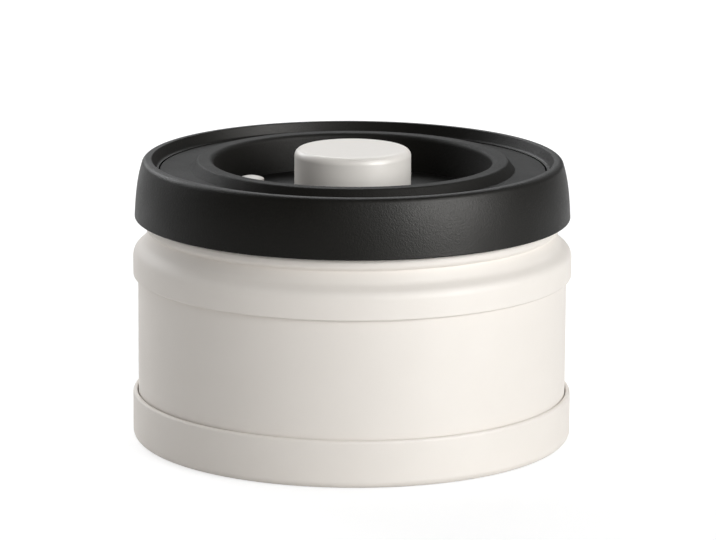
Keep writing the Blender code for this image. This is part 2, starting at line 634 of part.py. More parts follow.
def build_piston(finish, parent):
    """Piston with a groove for its seal, a snap collar for the button and a tower that houses the spring."""
    rim = bore_radius - PISTON_CLEARANCE
    groove = rim - SEAL_DEPTH
    collar = button_bore - SEAT_GAP
    web_top = piston_bottom + PISTON_WEB
    collar_top = piston_top + COLLAR_RISE
    corners = [
        (0, tower_top, 0), (tower_radius, tower_top, TOWER_FILLET), (tower_radius, web_top, 0),
        (collar - SNAP_WALL, web_top, 0), (collar - SNAP_WALL, collar_top, 0), (collar, collar_top, 0),
        (collar, piston_top, 0), (rim, piston_top, 0), (rim, piston_top - PISTON_RIM, 0),
        (groove, piston_top - PISTON_RIM, 0), (groove, piston_bottom + PISTON_RIM, 0),
        (rim, piston_bottom + PISTON_RIM, 0), (rim, piston_bottom, 0), (tower_bore, piston_bottom, 0),
        (tower_bore, tower_ceiling, 0), (0, tower_ceiling, 0),
    ]
    piston = turned_piece("piston", rounded(corners), PUMP_SIDES, finish, parent)
    cut_ports(piston, tower_top, TOWER_WALL)


def build_piston_seal(finish, parent):
    """Ring in the piston's groove, notched below so that two lips spread."""
    inner = bore_radius - PISTON_CLEARANCE - SEAL_DEPTH + SEAT_GAP
    outer = bore_radius - SEAT_GAP
    low = piston_bottom + PISTON_RIM + SEAT_GAP
    high = piston_top - PISTON_RIM - SEAT_GAP
    middle = (inner + outer) / 2
    notch = low + SEAL_NECK_SHARE * (high - low)
    outline = [(inner, low), (middle, notch), (outer, low), (outer, high), (inner, high)]
    turned_piece("piston_seal", outline, PUMP_SIDES, finish, parent)


def build_valve(name, seat, wall, finish, parent):
    """One of the two umbrella valves."""
    turned_piece(name, umbrella_outline(seat, wall), SMALL_SIDES, finish, parent)


# Air release

def build_vent_button(finish, parent):
    """Small button with a shallow dome, a flange under the well and a socket for its stem."""
    top = well_floor + VENT_RISE
    sphere = (VENT_RADIUS ** 2 + VENT_DOME ** 2) / (2 * VENT_DOME)
    reach = math.asin(VENT_RADIUS / sphere)
    outline = []
    for step in range(VENT_DOME_STEPS + 1):
        angle = reach * step / VENT_DOME_STEPS
        outline.append((sphere * math.sin(angle), top - sphere * (1 - math.cos(angle))))
    socket = VENT_STEM_RADIUS + SEAT_GAP
    socket_top = vent_flange_bottom + VENT_SOCKET_DEPTH
    outline += [
        (VENT_RADIUS, vent_flange_top), (vent_flange, vent_flange_top), (vent_flange, vent_flange_bottom),
        (socket, vent_flange_bottom), (socket, socket_top), (0, socket_top),
    ]
    turned_piece("vent_button", outline, SMALL_SIDES, finish, parent)


def build_vent_stem(finish, parent):
    """Pin from the button down through the plug, with a head that holds the seal."""
    top = vent_flange_bottom + VENT_SOCKET_DEPTH - SEAT_GAP
    head_top = vent_seal_bottom - SEAT_GAP
    head = VENT_STEM_RADIUS + VENT_STEM_HEAD_REACH
    outline = [
        (0, top), (VENT_STEM_RADIUS, top), (VENT_STEM_RADIUS, head_top), (head, head_top),
        (head, head_top - VENT_STEM_HEAD), (0, head_top - VENT_STEM_HEAD),
    ]
    turned_piece("vent_stem", outline, HOLE_SIDES, finish, parent)


def build_vent_seal(finish, parent):
    """Soft ring on the stem that closes the hole in the plug from below."""
    inner = VENT_STEM_RADIUS + SEAT_GAP
    outer = inner + VENT_SEAL_REACH
    outline = [
        (inner, vent_seal_bottom), (outer, vent_seal_bottom), (outer, vent_seal_top - VENT_SEAL_CHAMFER),
        (outer - VENT_SEAL_CHAMFER, vent_seal_top), (inner, vent_seal_top),
    ]
    turned_piece("vent_seal", outline, SMALL_SIDES, finish, parent)


# Springs

def spring_points(radius, wire, turns, low, high):
    """Points of a helix whose first and last turns lie close, and whose other turns share the rest."""
    start = low + wire
    travel = high - low - 2 * wire
    end_pitch = 2 * wire + END_TURN_SPACE
    pitch = (travel - 2 * end_pitch) / (turns - 2)
    points = []
    for step in range(turns * SPRING_TURN_POINTS + 1):
        turn = step / SPRING_TURN_POINTS
        open_turns = min(max(turn - 1, 0), turns - 2)
        end_turns = turn - open_turns
        angle = 2 * math.pi * turn
        points.append((radius * math.cos(angle), radius * math.sin(angle),
                       start + end_turns * end_pitch + open_turns * pitch))
    return points


def least_gap(points, wire):
    """Smallest space between a helix's wire and itself, between points half a turn or more apart."""
    apart = SPRING_TURN_POINTS // 2
    pairs = [(here, there) for index, here in enumerate(points) for there in points[index + apart:]]
    return min(math.dist(here, there) for here, there in pairs) - 2 * wire


def build_spring(name, radius, wire, turns, low, high, finish, parent):
    """Compression spring: one unbroken round wire."""
    points = spring_points(radius, wire, turns, low, high)
    curve = bpy.data.curves.new(name, "CURVE")
    curve.dimensions = "3D"
    curve.bevel_depth = wire
    curve.bevel_resolution = 1
    curve.use_fill_caps = True
    curve.materials.append(finish)
    spline = curve.splines.new("POLY")
    spline.points.add(len(points) - 1)
    for point, place in zip(spline.points, points):
        point.co = (*place, 1)
    made = bpy.data.objects.new(name, curve)
    bpy.context.collection.objects.link(made)
    made.parent = parent
    print(f"{name}: least gap between turns {least_gap(points, wire) * 1000:.2f} mm")


def build():
    """The whole canister: the can, the lid that lifts off it, the pump and the air release in the lid."""
    for old in list(bpy.data.objects):
        bpy.data.objects.remove(old, do_unlink=True)

    coated = material("coated_steel", (0.80, 0.775, 0.745), 0.45)
    steel = material("brushed_steel", (0.62, 0.61, 0.59), 0.32, 1.0)
    black = material("black_plastic", (0.022, 0.021, 0.020), 0.52)
    inner_plastic = material("inner_plastic", (0.055, 0.054, 0.052), 0.5)
    white = material("white_gloss_plastic", (0.83, 0.80, 0.765), 0.16)
    silicone = material("grey_silicone", (0.33, 0.33, 0.32), 0.6)
    wire = material("spring_steel", (0.56, 0.56, 0.57), 0.25, 1.0)

    can = empty("can")
    lid = empty("lid_lift_axis")
    pump = empty("pump_press_axis", parent=lid)
    vent_guide = empty("vent_guide", vent_place, lid)
    vent = empty("vent_press_axis", vent_place, lid)

    build_body_tube(coated, can)
    build_base_cap(coated, can)
    build_base_pad(silicone, can)
    build_top_collar(coated, can)
    build_inner_cup(steel, can)

    build_lid_rim(black, lid)
    build_lid_top(black, lid)
    build_lid_plug(inner_plastic, lid)
    build_lid_gasket(silicone, lid)
    build_lid_screws(steel, lid)
    build_pump_cylinder(inner_plastic, lid)
    build_cylinder_washer(silicone, lid)
    build_filter_screen(steel, lid)
    build_valve("inlet_valve", cylinder_floor, CYLINDER_FLOOR, silicone, lid)
    build_spring("pump_spring", pump_spring_radius, PUMP_SPRING_WIRE, PUMP_SPRING_TURNS,
                 cylinder_floor + SEAT_GAP, tower_ceiling - SEAT_GAP, wire, lid)
    build_spring("vent_spring", vent_spring_radius, VENT_SPRING_WIRE, VENT_SPRING_TURNS,
                 vent_tube_top + SEAT_GAP, vent_flange_bottom - SEAT_GAP, wire, vent_guide)

    build_pump_button(white, pump)
    build_piston(inner_plastic, pump)
    build_piston_seal(silicone, pump)
    build_valve("outlet_valve", tower_top, TOWER_WALL, silicone, pump)

    build_vent_button(white, vent)
    build_vent_stem(steel, vent)
    build_vent_seal(silicone, vent)


build()
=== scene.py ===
import json
import math

import bpy
import numpy as np
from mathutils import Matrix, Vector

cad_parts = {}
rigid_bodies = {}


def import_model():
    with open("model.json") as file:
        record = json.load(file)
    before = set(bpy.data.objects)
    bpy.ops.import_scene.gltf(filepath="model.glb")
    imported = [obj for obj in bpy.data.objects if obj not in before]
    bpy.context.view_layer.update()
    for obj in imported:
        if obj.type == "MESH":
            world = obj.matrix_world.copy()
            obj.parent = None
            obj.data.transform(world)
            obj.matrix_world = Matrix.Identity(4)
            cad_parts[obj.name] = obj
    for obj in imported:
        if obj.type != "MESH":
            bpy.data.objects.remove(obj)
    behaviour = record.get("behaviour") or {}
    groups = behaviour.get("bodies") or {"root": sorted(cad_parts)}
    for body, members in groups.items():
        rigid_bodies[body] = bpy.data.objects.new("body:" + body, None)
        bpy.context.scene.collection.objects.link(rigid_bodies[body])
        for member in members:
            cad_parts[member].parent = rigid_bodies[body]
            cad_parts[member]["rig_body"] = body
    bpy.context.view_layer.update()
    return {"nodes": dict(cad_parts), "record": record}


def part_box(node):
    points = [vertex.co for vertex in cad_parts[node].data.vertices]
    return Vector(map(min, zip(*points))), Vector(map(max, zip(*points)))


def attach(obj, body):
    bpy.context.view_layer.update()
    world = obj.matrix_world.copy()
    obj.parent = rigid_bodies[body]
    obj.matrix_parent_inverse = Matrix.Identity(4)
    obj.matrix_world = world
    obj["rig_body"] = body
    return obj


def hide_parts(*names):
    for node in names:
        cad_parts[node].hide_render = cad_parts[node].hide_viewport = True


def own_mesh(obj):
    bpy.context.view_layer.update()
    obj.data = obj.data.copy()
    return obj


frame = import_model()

scene = bpy.context.scene
slotOf = {row["node"]: row["material_slot"] for row in frame["record"]["subparts"]}
mm = 0.001


# Camera and studio

cameraValues = {
    "elevation": 12.3455,   # degrees above the horizon
    "distance": 1185.6 * mm,
    "aimHeight": 46.04 * mm,
    "lens": 216.1,
    "sensor": 36,
    "roll": 0.30,           # degrees
    "shift": (0.0081, 0.0007),
    "clipEnd": 50,
}

lampValues = {
    # azimuth from the camera to the right, elevation, width and height in metres, level, colour, and where it
    # shows: everywhere, only in shine, or only in the body of a colour
    "key": (42, 18, 1.0, 1.0, 0.575, (0.99, 1.0, 1.0), "all"),
    "side": (60, 20, 1.0, 1.0, 0.175, (0.99, 1.0, 1.0), "all"),
    "fill": (-8, 15, 1.0, 1.0, 0.042, (1.0, 0.985, 0.96), "body"),
    "gleam": (56, 24, 0.6, 2.0, 1.5, (1.0, 0.98, 0.95), "shine"),
    "lowGleam": (45, 12, 0.6, 1.0, 0.64, (1.0, 0.98, 0.95), "shine"),
    "leftBack": (-145, 28, 0.8, 0.8, 0.40, (0.97, 0.98, 0.99), "all"),
    "leftRim": (-118, 22, 0.8, 0.8, 0.15, (0.97, 0.98, 0.99), "all"),
    "rightRim": (150, 28, 0.8, 0.8, 0.04, (0.97, 0.98, 0.99), "all"),
    "backLight": (180, 38, 1.0, 1.0, 0.26, (0.96, 0.975, 0.99), "all"),
}

studioValues = {
    "lampDistance": 2.0,
    "ambient": 0.22,        # world strength
    "floorSize": 14.0,
    "floorDrop": 0.0002,
    "floorColour": (0.78, 0.775, 0.77),
    "grit": 4.0,            # millimetres
    "gritDim": 0.97,
    "floorGlow": 0.73,      # part of the floor's white that no shadow takes away
    "floorShade": 0.42,
}


def aimed(obj, place, target):
    # Turns an object's -Z towards the target.
    direction = np.subtract(target, place)
    level = math.hypot(direction[0], direction[1])
    obj.location = place
    obj.rotation_euler = (math.atan2(level, -direction[2]), 0, math.atan2(-direction[0], direction[1]))


def around(azimuth, elevation, distance, centre):
    # A place seen from the centre, with azimuth 0 towards the camera.
    azimuth, elevation = math.radians(azimuth), math.radians(elevation)
    level = distance * math.cos(elevation)
    return (centre[0] + level * math.sin(azimuth), centre[1] - level * math.cos(azimuth),
            centre[2] + distance * math.sin(elevation))


def makeCamera(v):
    data = bpy.data.cameras.new("camera")
    data.lens = v["lens"]
    data.sensor_width = v["sensor"]
    data.shift_x, data.shift_y = v["shift"]
    data.clip_end = v["clipEnd"]
    camera = bpy.data.objects.new("camera", data)
    scene.collection.objects.link(camera)
    aim = (0, 0, v["aimHeight"])
    aimed(camera, around(0, v["elevation"], v["distance"], aim), aim)
    camera.rotation_euler.rotate_axis("Z", math.radians(v["roll"]))
    scene.camera = camera


def makeLamps(values, distance, centre):
    # A white surface that faces a lamp shows its level: a flat lamp of power P gives P / (pi d) squared.
    for name, (azimuth, elevation, width, height, level, colour, shows) in values.items():
        data = bpy.data.lights.new(name, "AREA")
        data.shape = "RECTANGLE"
        data.size, data.size_y = width, height
        data.energy = level * (math.pi * distance) ** 2
        data.color = colour
        lamp = bpy.data.objects.new(name, data)
        lamp.visible_diffuse = shows != "shine"
        lamp.visible_glossy = shows != "body"
        lamp.visible_camera = False
        scene.collection.objects.link(lamp)
        aimed(lamp, around(azimuth, elevation, distance, centre), centre)


# Shader maths

def plug(tree, place, value):
    # Puts a number, a colour or another node's output into a socket.
    if isinstance(value, Wire):
        tree.links.new(value.socket, place)
    elif hasattr(value, "__len__") and len(value) == 3 and place.type == "RGBA":
        place.default_value = (*value, 1)
    else:
        place.default_value = value


class Wire:
    # A node's output that takes part in sums: each operator adds its Math node.
    def __init__(self, tree, socket):
        self.tree, self.socket = tree, socket

    def math(self, operation, first, second=0.0, clamp=False):
        made = self.tree.nodes.new("ShaderNodeMath")
        made.operation, made.use_clamp = operation, clamp
        plug(self.tree, made.inputs[0], first)
        plug(self.tree, made.inputs[1], second)
        return Wire(self.tree, made.outputs[0])

    def __add__(self, other):
        return self.math("ADD", self, other)

    def __sub__(self, other):
        return self.math("SUBTRACT", self, other)

    def __rsub__(self, other):
        return self.math("SUBTRACT", other, self)

    def __mul__(self, other):
        return self.math("MULTIPLY", self, other)

    def __truediv__(self, other):
        return self.math("DIVIDE", self, other)

    def __rtruediv__(self, other):
        return self.math("DIVIDE", other, self)

    def __pow__(self, other):
        return self.math("POWER", self, other)

    def __rpow__(self, other):
        return self.math("POWER", other, self)

    __radd__ = __add__
    __rmul__ = __mul__

    def held(self):
        # Between 0 and 1.
        return self.math("ADD", self, 0.0, clamp=True)


class Finish:
    # One material and its nodes.
    def __init__(self, name):
        self.material = bpy.data.materials.new(name)
        self.material.use_nodes = True
        self.tree = self.material.node_tree
        self.tree.nodes.clear()

    def node(self, kind, settings=None, sockets=None, out=0):
        # Makes a node of this kind, sets its settings, then fills its sockets, and gives the chosen output.
        made = self.tree.nodes.new("ShaderNode" + kind)
        for key, value in (settings or {}).items():
            setattr(made, key, value)
        for key, value in (sockets or {}).items():
            plug(self.tree, made.inputs[key], value)
        return Wire(self.tree, made.outputs[out]) if len(made.outputs) else None

    def millimetres(self):
        place = self.node("TexCoord", out="Object")
        return self.node("VectorMath", {"operation": "SCALE"}, {0: place, "Scale": 1 / mm})

    def noise(self, place, size, detail, roughness=0.5):
        # Noise about 0.5, whose lumps are this many millimetres wide, with so many steps of finer detail.
        sockets = {"Vector": place, "Scale": 1 / size, "Detail": detail, "Roughness": roughness}
        return self.node("TexNoise", None, sockets)

    def tint(self, factor, first, second):
        return self.node("Mix", {"data_type": "RGBA"}, {0: factor, 6: first, 7: second}, out=2)

    def bump(self, height, depth):
        # Depth is in millimetres for a height that goes from 0 to 1.
        return self.node("Bump", None, {"Height": height, "Distance": depth * mm})

    def close(self, sockets):
        surface = self.node("BsdfPrincipled", None, sockets)
        self.node("OutputMaterial", None, {"Surface": surface})
        return self.material


def blend(first, second, share):
    # The first by its share and the second by the rest.
    return first * share + second * (1 - share)


def varied(v, noise):
    # A roughness that the noise, which is about 0.5, moves up and down.
    return v["roughness"] + (noise - 0.5) * v["roughnessSpread"]


# Finishes. The sizes of noises and the depths of bumps are in millimetres.

coatValues = {
    "light": (0.835, 0.79, 0.74), "shade": (0.80, 0.752, 0.70),
    "roughness": 0.60, "roughnessSpread": 0.14, "depth": 0.010,
    "cloud": 9.0, "peel": 0.55, "powder": 0.16,
    "cloudInTint": 0.6, "powderInHaze": 0.7, "peelInHeight": 0.7,   # shares
}


def powderCoat(v):
    f = Finish("powderCoat")
    place = f.millimetres()
    cloud = f.noise(place, v["cloud"], 3)
    peel = f.noise(place, v["peel"], 2)
    powder = f.noise(place, v["powder"], 1)
    return f.close({
        "Base Color": f.tint(blend(cloud, powder, v["cloudInTint"]).held(), v["light"], v["shade"]),
        "Roughness": varied(v, blend(powder, cloud, v["powderInHaze"])),
        "Normal": f.bump(blend(peel, powder, v["peelInHeight"]), v["depth"]),
    })


grainValues = {
    "dark": (0.0018, 0.0015, 0.0008), "light": (0.0040, 0.0034, 0.0018),
    "roughness": 0.47, "roughnessSpread": 0.34, "specular": 0.175, "depth": 0.105,
    "grain": 0.52, "grainRoughness": 0.6, "fine": 0.24, "cloud": 14.0,
    "grainInHeight": 0.65, "fineInHaze": 0.6,                       # shares
    "tintLow": 0.35, "tintSteep": 3.0,                              # height that is dark, and the rise
}
deckValues = {**grainValues, "roughness": 0.60, "specular": 0.15}   # the lid's top is duller than its rim


def grainedBlack(name, v):
    f = Finish(name)
    place = f.millimetres()
    grain = f.noise(place, v["grain"], 2, v["grainRoughness"])
    fine = f.noise(place, v["fine"], 1)
    cloud = f.noise(place, v["cloud"], 2)
    height = blend(grain, fine, v["grainInHeight"])
    return f.close({
        "Base Color": f.tint(((height - v["tintLow"]) * v["tintSteep"]).held(), v["dark"], v["light"]),
        "Roughness": varied(v, blend(fine, cloud, v["fineInHaze"])),
        "Specular IOR Level": v["specular"],
        "Normal": f.bump(height, v["depth"]),
    })


glossValues = {
    "light": (0.88, 0.84, 0.79), "shade": (0.85, 0.81, 0.76),
    "roughness": 0.42, "roughnessSpread": 0.06, "depth": 0.006,
    "wave": 6.0, "haze": 2.2, "waveInHeight": 0.9,
}


def glossWhite(v):
    f = Finish("glossWhite")
    place = f.millimetres()
    wave = f.noise(place, v["wave"], 1)
    haze = f.noise(place, v["haze"], 3)
    return f.close({
        "Base Color": f.tint(haze, v["light"], v["shade"]),
        "Roughness": varied(v, haze),
        "Normal": f.bump(blend(wave, haze, v["waveInHeight"]), v["depth"]),
    })


darkValues = {
    "dark": (0.042, 0.041, 0.040), "light": (0.062, 0.061, 0.059),
    "roughness": 0.46, "roughnessSpread": 0.16, "depth": 0.008,
    "grain": 0.30, "flow": 11.0, "flowInTint": 0.7, "flowInHaze": 0.5,
}


def mouldedDark(v):
    f = Finish("mouldedDark")
    place = f.millimetres()
    grain = f.noise(place, v["grain"], 2)
    flow = f.noise(place, v["flow"], 3)
    return f.close({
        "Base Color": f.tint(blend(flow, grain, v["flowInTint"]).held(), v["dark"], v["light"]),
        "Roughness": varied(v, blend(flow, grain, v["flowInHaze"])),
        "Normal": f.bump(grain, v["depth"]),
    })


steelValues = {
    "light": (0.66, 0.65, 0.63), "shade": (0.52, 0.51, 0.495),
    "roughness": 0.30, "roughnessSpread": 0.22, "depth": 0.0035,
    "line": 0.11, "cloud": 8.0, "streakInHaze": 0.7,
    "change": 3.0,          # how fast a line changes on its way round
    "axisGuard": 0.001,     # millimetres, against a division by nought on the axis
    "tintLow": 0.3, "tintSteep": 2.2,
}


def brushedSteel(v):
    # Brushed round the axis: the noise is fine across the lines and changes slowly along them.
    f = Finish("brushedSteel")
    place = f.millimetres()
    x, y, z = (f.node("SeparateXYZ", None, {0: place}, out=axis) for axis in range(3))
    radius = (x * x + y * y) ** 0.5
    cosine, sine = (part / (radius + v["axisGuard"]) for part in (x, y))
    across = (radius + z) / v["line"]
    lines = f.node("CombineXYZ", None, {0: cosine * v["change"], 1: sine * v["change"], 2: across})
    streaks = f.noise(lines, 1, 3)      # the place is scaled already, so the size is 1
    cloud = f.noise(place, v["cloud"], 2)
    return f.close({
        "Base Color": f.tint(((streaks - v["tintLow"]) * v["tintSteep"]).held(), v["light"], v["shade"]),
        "Metallic": 1.0,
        "Roughness": varied(v, blend(streaks, cloud, v["streakInHaze"])),
        "Normal": f.bump(streaks, v["depth"]),
    })


wireValues = {
    "light": (0.60, 0.60, 0.61), "shade": (0.50, 0.50, 0.51),
    "roughness": 0.22, "roughnessSpread": 0.12, "mark": 0.35, "depth": 0.002,
}


def drawnWire(v):
    f = Finish("drawnWire")
    marks = f.noise(f.millimetres(), v["mark"], 3)
    return f.close({
        "Base Color": f.tint(marks, v["light"], v["shade"]),
        "Metallic": 1.0,
        "Roughness": varied(v, marks),
        "Normal": f.bump(marks, v["depth"]),
    })


siliconeValues = {
    "light": (0.36, 0.36, 0.35), "shade": (0.30, 0.30, 0.29),
    "roughness": 0.62, "roughnessSpread": 0.12, "depth": 0.006,
    "grain": 0.25, "bloom": 5.0, "bloomInTint": 0.7,
}


def softSilicone(v):
    f = Finish("softSilicone")
    place = f.millimetres()
    grain = f.noise(place, v["grain"], 2)
    bloom = f.noise(place, v["bloom"], 3)
    return f.close({
        "Base Color": f.tint(blend(bloom, grain, v["bloomInTint"]).held(), v["light"], v["shade"]),
        "Roughness": varied(v, bloom),
        "Normal": f.bump(grain, v["depth"]),
    })


finishes = {
    "coated_steel": powderCoat(coatValues),
    "black_plastic": grainedBlack("grainedBlack", grainValues),
    "white_plastic": glossWhite(glossValues),
    "inner_plastic": mouldedDark(darkValues),
    "cup_steel": brushedSteel(steelValues),
    "spring_steel": drawnWire(wireValues),
    "silicone": softSilicone(siliconeValues),
}
nodeFinishes = {"lid_top": grainedBlack("coarseBlack", deckValues)}


def makeFloor(v):
    # The camera, mirrors and glass see white with the object's shadow in it, and other light meets a plain
    # pale floor.
    f = Finish("paleFloor")
    grit = f.noise(f.millimetres(), v["grit"], 2)
    pale = f.tint(grit, v["floorColour"], tuple(v["gritDim"] * part for part in v["floorColour"]))
    plain = f.node("BsdfDiffuse", None, {"Color": pale})
    dimmed = f.node("BsdfDiffuse", None, {"Color": (v["floorShade"],) * 3})
    glow = f.node("Emission", None, {"Strength": v["floorGlow"]})
    white = f.node("AddShader", None, {0: dimmed, 1: glow})
    seen = f.node("LightPath", out="Is Camera Ray") + f.node("LightPath", out="Is Glossy Ray")
    seen = (seen + f.node("LightPath", out="Is Transmission Ray")).held()
    surface = f.node("MixShader", None, {0: seen, 1: plain, 2: white})
    f.node("OutputMaterial", None, {"Surface": surface})
    half = v["floorSize"] / 2
    corners = [(-half, -half), (half, -half), (half, half), (-half, half)]
    mesh = bpy.data.meshes.new("floor")
    mesh.from_pydata([(x, y, -v["floorDrop"]) for x, y in corners], [], [(0, 1, 2, 3)])
    mesh.materials.append(f.material)
    floor = bpy.data.objects.new("floor", mesh)
    scene.collection.objects.link(floor)


def makeWorld(v):
    # A soft even light from all round.
    world = bpy.data.worlds.new("studio")
    world.use_nodes = True
    world.node_tree.nodes["Background"].inputs["Color"].default_value = (1, 1, 1, 1)
    world.node_tree.nodes["Background"].inputs["Strength"].default_value = v["ambient"]
    scene.world = world


makeCamera(cameraValues)
makeLamps(lampValues, studioValues["lampDistance"], (0, 0, cameraValues["aimHeight"]))
makeFloor(studioValues)
makeWorld(studioValues)
scene.view_settings.view_transform = "Standard"
print("camera, lamps and floor are in place")


# Turned surfaces

turnValues = {
    "shell": 288, "inside": 224, "small": 96, "tiny": 48, "port": 24, "pore": 20, "hex": 6,   # sides
    "arcStep": 9,                   # degrees in a fillet's step
    "leastSteps": 3,
    "leastFillet": 0.15 * mm,       # of a bend's inner side
    "support": 0.12 * mm,           # flat strip beside a fillet, which keeps the shading of the flat clean
    "supportRoom": 4,               # strips that a flat has to have room for
    "onAxis": 0.0001 * mm,          # a radius below this is on the axis
    "sharp": 34,                    # degrees
    "spare": 1 * mm,                # how far a tool goes past what it cuts
    "overlap": 0.5 * mm,            # how far a joined shape goes into its piece
}
spare, overlap = turnValues["spare"], turnValues["overlap"]


def rounded(corners, closed=True):
    # An outline of (radius, height, fillet) corners. Each fillet is an arc that touches both sides of its
    # corner: its centre lies on the corner's bisector, a fillet over the sine of the half angle away.
    v = turnValues
    spots = np.array([corner[:2] for corner in corners], float)
    before, after = np.roll(spots, 1, 0) - spots, np.roll(spots, -1, 0) - spots
    spans = np.linalg.norm(after, axis=1)
    pieces, reaches = [], np.zeros(len(spots))
    for index, (spot, fillet) in enumerate(zip(spots, [corner[2] for corner in corners])):
        if fillet <= 0:
            pieces.append(spot[None])
            continue
        back = before[index] / np.linalg.norm(before[index])
        ahead = after[index] / spans[index]
        half = math.acos(np.clip(back @ ahead, -1, 1)) / 2
        bisector = (back + ahead) / np.linalg.norm(back + ahead)
        centre = spot + bisector * fillet / math.sin(half)
        reaches[index] = fillet / math.tan(half)
        start, end = spot + back * reaches[index] - centre, spot + ahead * reaches[index] - centre
        first = math.atan2(start[1], start[0])
        sweep = (math.atan2(end[1], end[0]) - first + math.pi) % (2 * math.pi) - math.pi
        steps = max(v["leastSteps"], math.ceil(abs(math.degrees(sweep)) / v["arcStep"]))
        angles = first + sweep * np.linspace(0, 1, steps + 1)
        pieces.append(centre + fillet * np.stack([np.cos(angles), np.sin(angles)], 1))
    line = []
    for index, piece in enumerate(pieces):
        line.append(piece)
        following = (index + 1) % len(pieces)
        room = spans[index] - reaches[index] - reaches[following]
        if (following == 0 and not closed) or room < v["supportRoom"] * v["support"]:
            continue
        ahead = after[index] / spans[index]
        if reaches[index] > 0:
            line.append((piece[-1] + ahead * v["support"])[None])
        if reaches[following] > 0:
            line.append((pieces[following][0] - ahead * v["support"])[None])
    return np.concatenate(line)


def thick(corners, wall):
    # Corners of a sheet: the line, then the line moved to its left by the wall and run back. A bend keeps one
    # centre.
    far = []
    spots = np.array([corner[:2] for corner in corners], float)
    for index, (spot, fillet) in enumerate(zip(spots, [corner[2] for corner in corners])):
        arriving = spot - spots[index - 1] if index else spots[1] - spot
        leaving = spots[index + 1] - spot if index < len(spots) - 1 else arriving
        arriving, leaving = arriving / np.linalg.norm(arriving), leaving / np.linalg.norm(leaving)
        turn = arriving[0] * leaving[1] - arriving[1] * leaving[0]
        mitre = np.array([-arriving[1] - leaving[1], arriving[0] + leaving[0]])
        mitre = mitre / np.linalg.norm(mitre)
        reach = wall / (mitre @ np.array([-leaving[1], leaving[0]]))
        inner = 0
        if fillet > 0:
            inner = max(fillet - math.copysign(wall, turn * wall), turnValues["leastFillet"])
        far.append((*(spot + mitre * reach), inner))
    return list(corners) + far[::-1]


def turnedGrid(line, sides, place=(0, 0)):
    # Surface of revolution: a line's point (r, h) at angle a is (r cos a, r sin a, h). A line that starts on
    # the axis ends on it too, with one point at each pole, and any other line is closed.
    line = np.asarray(line, float)
    poles = line[0, 0] < turnValues["onAxis"]
    rings = line[1:-1] if poles else line
    angles = np.arange(sides) * 2 * math.pi / sides
    grid = np.empty((len(rings), sides, 3))
    grid[..., 0] = place[0] + rings[:, :1] * np.cos(angles)
    grid[..., 1] = place[1] + rings[:, :1] * np.sin(angles)
    grid[..., 2] = rings[:, 1:]
    count = len(rings) - 1 if poles else len(rings)
    row = np.arange(count)[:, None] * sides
    nextRow = (np.arange(count)[:, None] + 1) % len(rings) * sides
    column = np.arange(sides)
    nextColumn = (column + 1) % sides
    quads = [row + column, row + nextColumn, nextRow + nextColumn, nextRow + column]
    faces = np.stack(quads, -1).reshape(-1, 4).tolist()
    vertices = grid.reshape(-1, 3)
    if poles:
        first, last = len(vertices), len(vertices) + 1
        vertices = np.concatenate([vertices, [(*place, line[0, 1]), (*place, line[-1, 1])]])
        base = (len(rings) - 1) * sides
        faces += np.stack([np.full(sides, first), nextColumn, column], -1).tolist()
        faces += np.stack([np.full(sides, last), base + column, base + nextColumn], -1).tolist()
    return vertices, faces


def madeObject(name, vertices, faces):
    # An object whose faces point outwards: a negative volume turns them all round.
    corners = np.array([(face[0], face[k], face[k + 1]) for face in faces for k in range(1, len(face) - 1)])
    a, b, c = (vertices[corners[:, k]] for k in range(3))
    if np.einsum("ij,ij->i", a, np.cross(b, c)).sum() < 0:
        faces = [face[::-1] for face in faces]
    mesh = bpy.data.meshes.new(name)
    mesh.from_pydata(vertices, [], faces)
    mesh.validate()
    shaded(mesh)
    obj = bpy.data.objects.new(name, mesh)
    scene.collection.objects.link(obj)
    return obj


def shaded(mesh):
    mesh.shade_smooth()
    mesh.set_sharp_from_angle(angle=math.radians(turnValues["sharp"]))


def turned(name, line, sides, places=((0, 0),)):
    # An object of the turned line at each place.
    vertices, faces, total = [], [], 0
    for place in places:
        some, theirs = turnedGrid(line, turnValues[sides], place)
        vertices.append(some)
        faces += [[index + total for index in face] for face in theirs]
        total += len(some)
    return madeObject(name, np.concatenate(vertices), faces)


def carve(obj, operation, tool):
    # Joins a tool's shape to a piece or cuts it out, and leaves a plain mesh.
    change = obj.modifiers.new("carve", "BOOLEAN")
    change.operation, change.solver, change.object = operation, "EXACT", tool
    bpy.context.view_layer.update()
    ready = obj.evaluated_get(bpy.context.evaluated_depsgraph_get())
    mesh = bpy.data.meshes.new_from_object(ready)
    obj.modifiers.clear()
    obj.data = mesh
    shaded(mesh)
    bpy.data.objects.remove(tool)


def dress(obj, node):
    # The piece stands for a CAD node: it rides on the node's body, and takes the finish made for the node or
    # else that of the node's slot.
    obj.data.materials.clear()
    obj.data.materials.append(nodeFinishes.get(node, finishes[slotOf[node]]))
    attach(obj, frame["nodes"][node]["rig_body"])
    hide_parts(node)


def span(node):
    # Outer radius, lowest level and highest level of a piece that is round about the axis.
    low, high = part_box(node)
    return high.x, low.z, high.z


def levels(node):
    return [corner.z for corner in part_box(node)]


def middle(node):
    low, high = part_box(node)
    return ((low.x + high.x) / 2, (low.y + high.y) / 2)


def ventPlace():
    return middle("vent_button")


def screwPlaces():
    return [middle(f"lid_screw_{number}") for number in range(1, topValues["screwCount"] + 1)]


def ring(count, radius):
    # Places spread evenly on a circle.
    angles = [2 * math.pi * number / count for number in range(count)]
    return [(radius * math.cos(angle), radius * math.sin(angle)) for angle in angles]


def bar(radius, low, high, fillet=0.0):
    # The line of a round bar.
    return rounded([(0, low, 0), (radius, low, fillet), (radius, high, fillet), (0, high, 0)], closed=False)


# Can

tubeValues = {"wall": 1.0 * mm}


